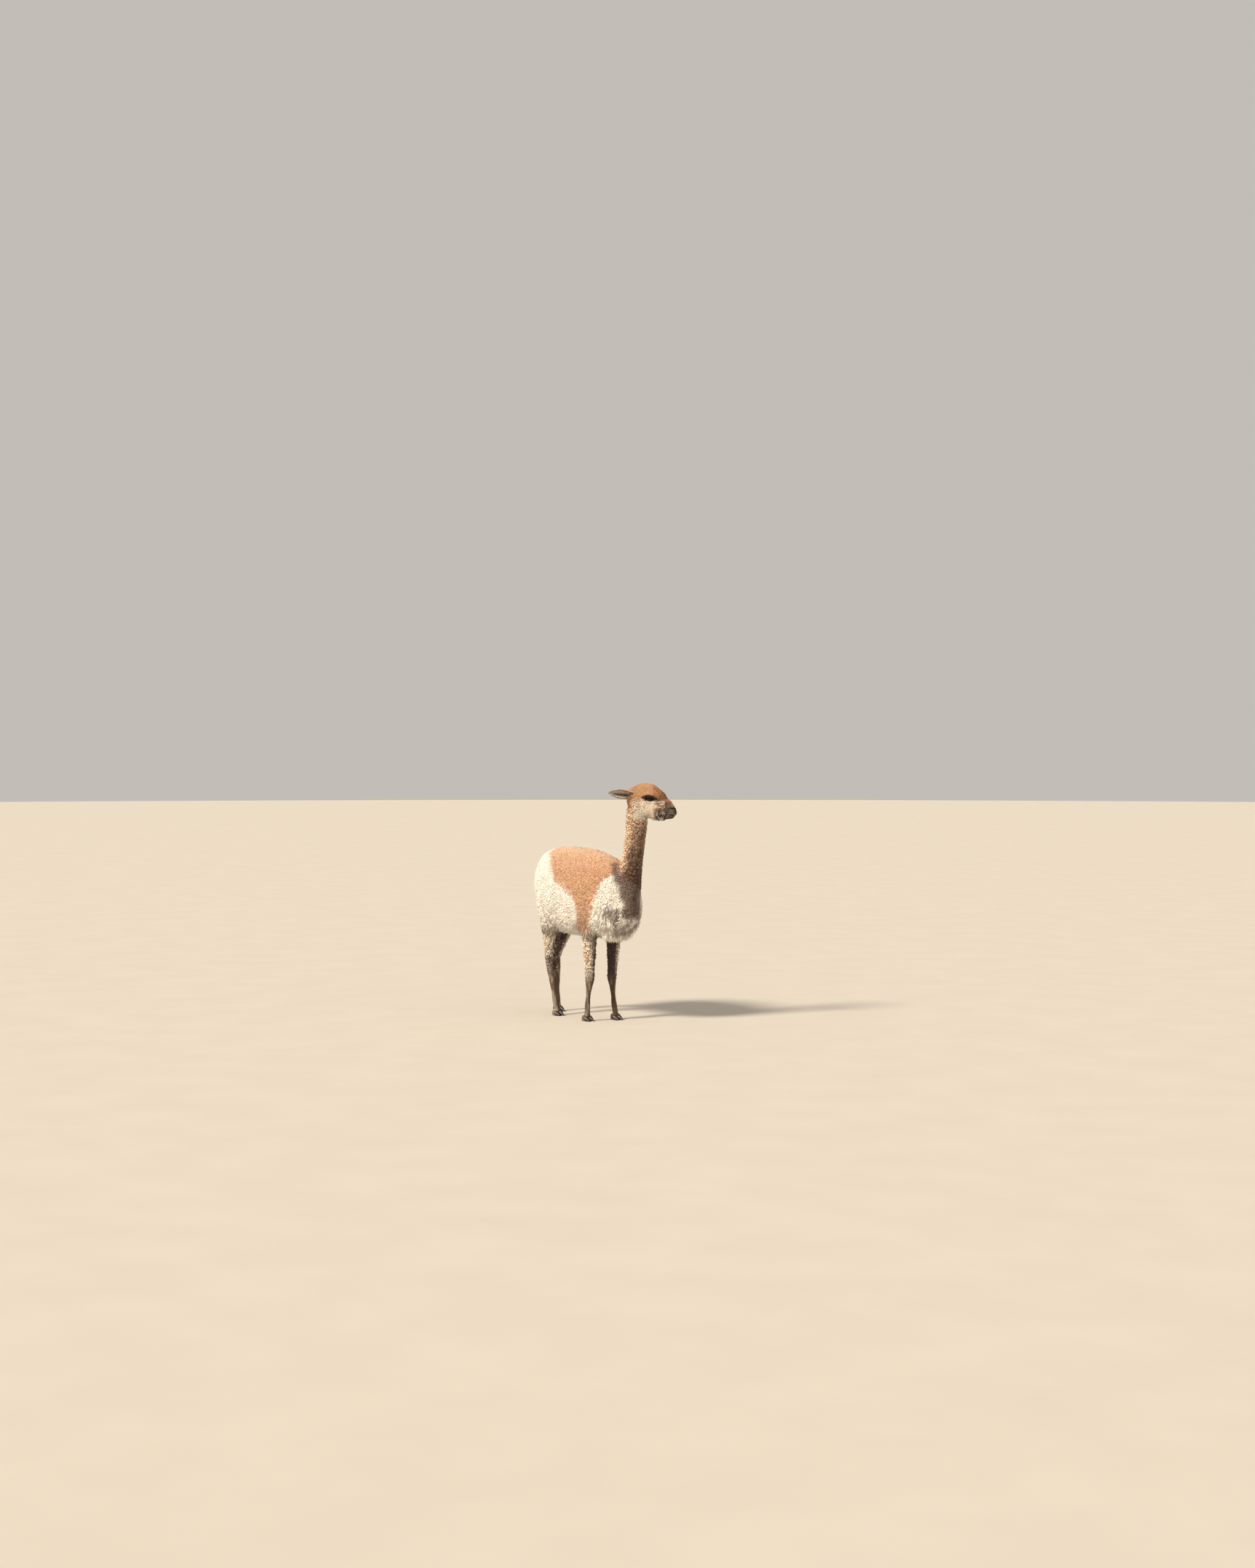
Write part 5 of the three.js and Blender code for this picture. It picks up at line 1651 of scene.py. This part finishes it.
def nearest_rows(points, others):
    """The index of the nearest of the others to each point, found in slices."""
    slices = np.array_split(points, 40)
    return np.concatenate([((some[:, None] - others[None]) ** 2).sum(-1).argmin(1) for some in slices])


def ear_colour(points, inner, shares, middle):
    """Tan outside with a brown tip, grey-cream inside with painted shade in a dark streak along the middle of
    the hollow, and dark rims.
    """
    colour = np.tile(hue.dome, (len(points), 1))
    colour = blend(colour, hue.ear_grey, inner * 0.9)
    # Painted shade along the middle of the ear's hollow
    streak = smooth(-np.abs(middle + 0.1), -0.3, -0.08) * inner * smooth(-shares, -0.88, -0.7)
    colour = blend(colour, hue.muzzle_dark, streak * 0.85)
    colour = blend(colour, hue.cream, smooth(middle, 0.4, 0.62) * smooth(-middle, -0.9, -0.8) * inner * 0.8)
    rim = smooth(np.abs(middle), 0.88, 0.98)
    colour = blend(colour, hue.leg_brown, rim * 0.7)
    return blend(colour, hue.rust, smooth(shares, 0.86, 1.0) * 0.7)


# Where the trunk's fleece is cut into pieces, from the tail to the breast, in metres
TRUNK_CUTS = (-1.0, -0.22, -0.04, 0.14, 1.0)


def between_cuts(points, low, high):
    """Whether each point lies between two cuts."""
    return (points[:, 0] >= low) & (points[:, 0] < high)


def trunk_region(points, weights):
    """All of the trunk and the tops of the legs."""
    high = smooth(points[:, 2], 0.47, 0.53)
    return share_of(weights, "torso") + share_of(weights, *LEGS) * high


def bib_region(points, weights):
    """The breast between the forelegs and under the neck."""
    x, _, z = (points / MM).T
    breast = smooth(x, 200, 250) * smooth(-z, -700, -640)
    return (share_of(weights, "torso") + share_of(weights, "neck")) * breast


class VICUNA_OT_fleece(bpy.types.Operator):
    """Fleece of the trunk in four pieces, and the long bib"""

    bl_idname = "vicuna.fleece"
    bl_label = "Fleece"

    def execute(self, context):
        settings = context.scene.vicuna_coat
        surface = skin_surface()
        density = surface.areas * trunk_region(surface.middle, skin_store["weights"])
        slices = list(zip(TRUNK_CUTS, TRUNK_CUTS[1:]))
        share = [density[between_cuts(surface.middle, *ends)].sum() for ends in slices]
        for index, ends in enumerate(slices):
            count = int(settings.trunk_tufts * share[index] / sum(share))

            def region(points, weights, ends=ends):
                return trunk_region(points, weights) * between_cuts(points, *ends)

            grow(
                f"fleece_trunk_{index + 1}", region, count, fleece_look, rings=2, seed=31 + index,
                material="vicuna_fleece", slot="cinnamon_wool", tone=0.08,
            )
        grow(
            "fleece_bib", bib_region, settings.bib_tufts, bib_look, rings=4, seed=41,
            material="curly_leg_wool", slot="fawn_wool", tone=0.3,
        )
        return {"FINISHED"}


class VICUNA_OT_neck(bpy.types.Operator):
    """Wool of the neck"""

    bl_idname = "vicuna.neck"
    bl_label = "Neck wool"

    def execute(self, context):
        count = context.scene.vicuna_coat.neck_tufts

        def region(points, weights):
            return share_of(weights, "neck") * (1 - throat_share(points))

        grow(
            "fleece_neck", region, count, neck_look, rings=2, seed=43,
            material="curly_leg_wool", slot="fawn_wool", tone=0.3,
        )
        return {"FINISHED"}


class VICUNA_OT_legs(bpy.types.Operator):
    """Curly wool above knee and hock, short hair below"""

    bl_idname = "vicuna.legs"
    bl_label = "Leg wool"

    def execute(self, context):
        settings = context.scene.vicuna_coat

        def upper(points, weights):
            z = points[:, 2] / MM
            return share_of(weights, *LEGS) * smooth(z, 215, 260) * smooth(-z, -530, -470)

        def lower(points, weights):
            z = points[:, 2] / MM
            return share_of(weights, *LEGS) * smooth(-z, -290, -230) * smooth(z, 4, 16)

        grow(
            "fleece_legs", upper, settings.thigh_tufts, upper_leg_look, rings=3, seed=45,
            material="curly_leg_wool", slot="fawn_wool", tone=0.5,
        )
        grow(
            "hair_shanks", lower, settings.shank_tufts, lower_leg_look, rings=2, seed=47,
            material="short_guard_hair", slot="short_hair",
        )
        return {"FINISHED"}


class VICUNA_OT_head(bpy.types.Operator):
    """Curls of the head and short hair of the face"""

    bl_idname = "vicuna.head"
    bl_label = "Head wool"

    def execute(self, context):
        settings = context.scene.vicuna_coat

        def region(points, weights):
            forward, _, up = head_frame(points)
            place = EYE["place"]
            almond = np.hypot((forward - place[0]) / 22, (up - place[2]) / 14)
            clear = smooth(almond, 1.0, 1.15)
            nose = 1 - smooth(forward, 124, 136)
            finer = 1 + 1.2 * smooth(forward, 10, 70)
            own = share_of(weights, "head") + share_of(weights, "neck") * throat_share(points)
            return own * clear * nose * finer

        def jaw(points, weights):
            forward, _, up = head_frame(points)
            along = smooth(forward, 18, 40) * smooth(-forward, -98, -80)
            return share_of(weights, "head") * along * smooth(-up - forward * 0.35, 24, 50)

        grow(
            "fleece_head", region, settings.head_tufts, head_look, rings=2, seed=51,
            material="fine_crown_wool", slot="fawn_wool", tone=0.08,
        )
        grow(
            "jaw_locks", jaw, settings.jaw_tufts, jaw_look, rings=3, seed=55,
            material="short_guard_hair", slot="short_hair", tone=0.2,
        )
        return {"FINISHED"}


class VICUNA_OT_lashes(bpy.types.Operator):
    """Long dark lashes on the upper lids"""

    bl_idname = "vicuna.lashes"
    bl_label = "Lashes"

    def execute(self, context):
        for side, name in ((1, "left"), (-1, "right")):
            random = np.random.default_rng(71)
            angle = np.linspace(0.12, 0.95, context.scene.vicuna_coat.lashes) * np.pi
            angle = angle + random.uniform(-0.02, 0.02, len(angle))
            rim = lid_line(angle)
            roots = HEAD_PLACE + head_vector(rim + np.array(EYE["place"]), side) * MM
            normals = head_vector(unit(rim), side)
            fan = np.cos(angle)[:, None] * HEAD_FORWARD * 0.6
            lies = HEAD_LEFT * side * 0.9 - Z * 0.25 + fan
            look = look_of(
                15, 1.3, 5,
                flat=0.7, taper=0.8, settle=-0.25, droop=0.15, spread=0.12, tangle=0.0, gather=0.2, curl=0.0,
                turns=0.5,
            )
            places = np.tile([[0.9, 0.94]], (len(roots), 1)) + (angle / 40)[:, None]
            colours = np.tile(hue.lid_brown, (len(roots), 1))
            mesh = tuft_mesh(f"lashes_{name}", roots, normals, lies, look, 4, 73, colours, places)
            add_object(f"lashes_{name}", mesh, wool("short_guard_hair"))
        return {"FINISHED"}


class VICUNA_OT_tail(bpy.types.Operator):
    """Hanging locks of the tail"""

    bl_idname = "vicuna.tail"
    bl_label = "Tail locks"

    def execute(self, context):
        def region(points, weights):
            return share_of(weights, "tail")

        grow(
            "fleece_tail", region, context.scene.vicuna_coat.tail_tufts, tail_look, rings=4, seed=53,
            material="vicuna_fleece", slot="cinnamon_wool",
        )
        return {"FINISHED"}


class VICUNA_PT_panel(bpy.types.Panel):
    """Lists the sizes and colours, and the steps that build the vicuna"""

    bl_idname = "VICUNA_PT_panel"
    bl_label = "Vicuna"
    bl_space_type = "VIEW_3D"
    bl_region_type = "UI"
    bl_category = "Vicuna"

    def draw(self, context):
        for operator in OPERATORS:
            self.layout.operator(operator.bl_idname)
        for group, kind in SETTINGS.items():
            for name in kind.__annotations__:
                self.layout.prop(getattr(context.scene, group), name)


OPERATORS = (
    VICUNA_OT_stage,
    VICUNA_OT_skin,
    VICUNA_OT_eyes,
    VICUNA_OT_nails,
    VICUNA_OT_ears,
    VICUNA_OT_fleece,
    VICUNA_OT_neck,
    VICUNA_OT_legs,
    VICUNA_OT_head,
    VICUNA_OT_lashes,
    VICUNA_OT_tail,
)
SETTINGS = {
    "vicuna_stage": StageSettings,
    "vicuna_skin": SkinSettings,
    "vicuna_colours": ColourSettings,
    "vicuna_coat": CoatSettings,
}


def register():
    """Registers the settings, the steps and the panel."""
    for name, group in SETTINGS.items():
        bpy.utils.register_class(group)
        setattr(bpy.types.Scene, name, bpy.props.PointerProperty(type=group))
    for kind in (*OPERATORS, VICUNA_PT_panel):
        bpy.utils.register_class(kind)


def unregister():
    """Takes away what register() added."""
    for kind in (VICUNA_PT_panel, *reversed(OPERATORS)):
        bpy.utils.unregister_class(kind)
    for name, group in SETTINGS.items():
        delattr(bpy.types.Scene, name)
        bpy.utils.unregister_class(group)


def main():
    """Builds every piece in order."""
    register()
    for operator in OPERATORS:
        group, name = operator.bl_idname.split(".")
        getattr(getattr(bpy.ops, group), name)()


if __name__ == "__main__":
    main()
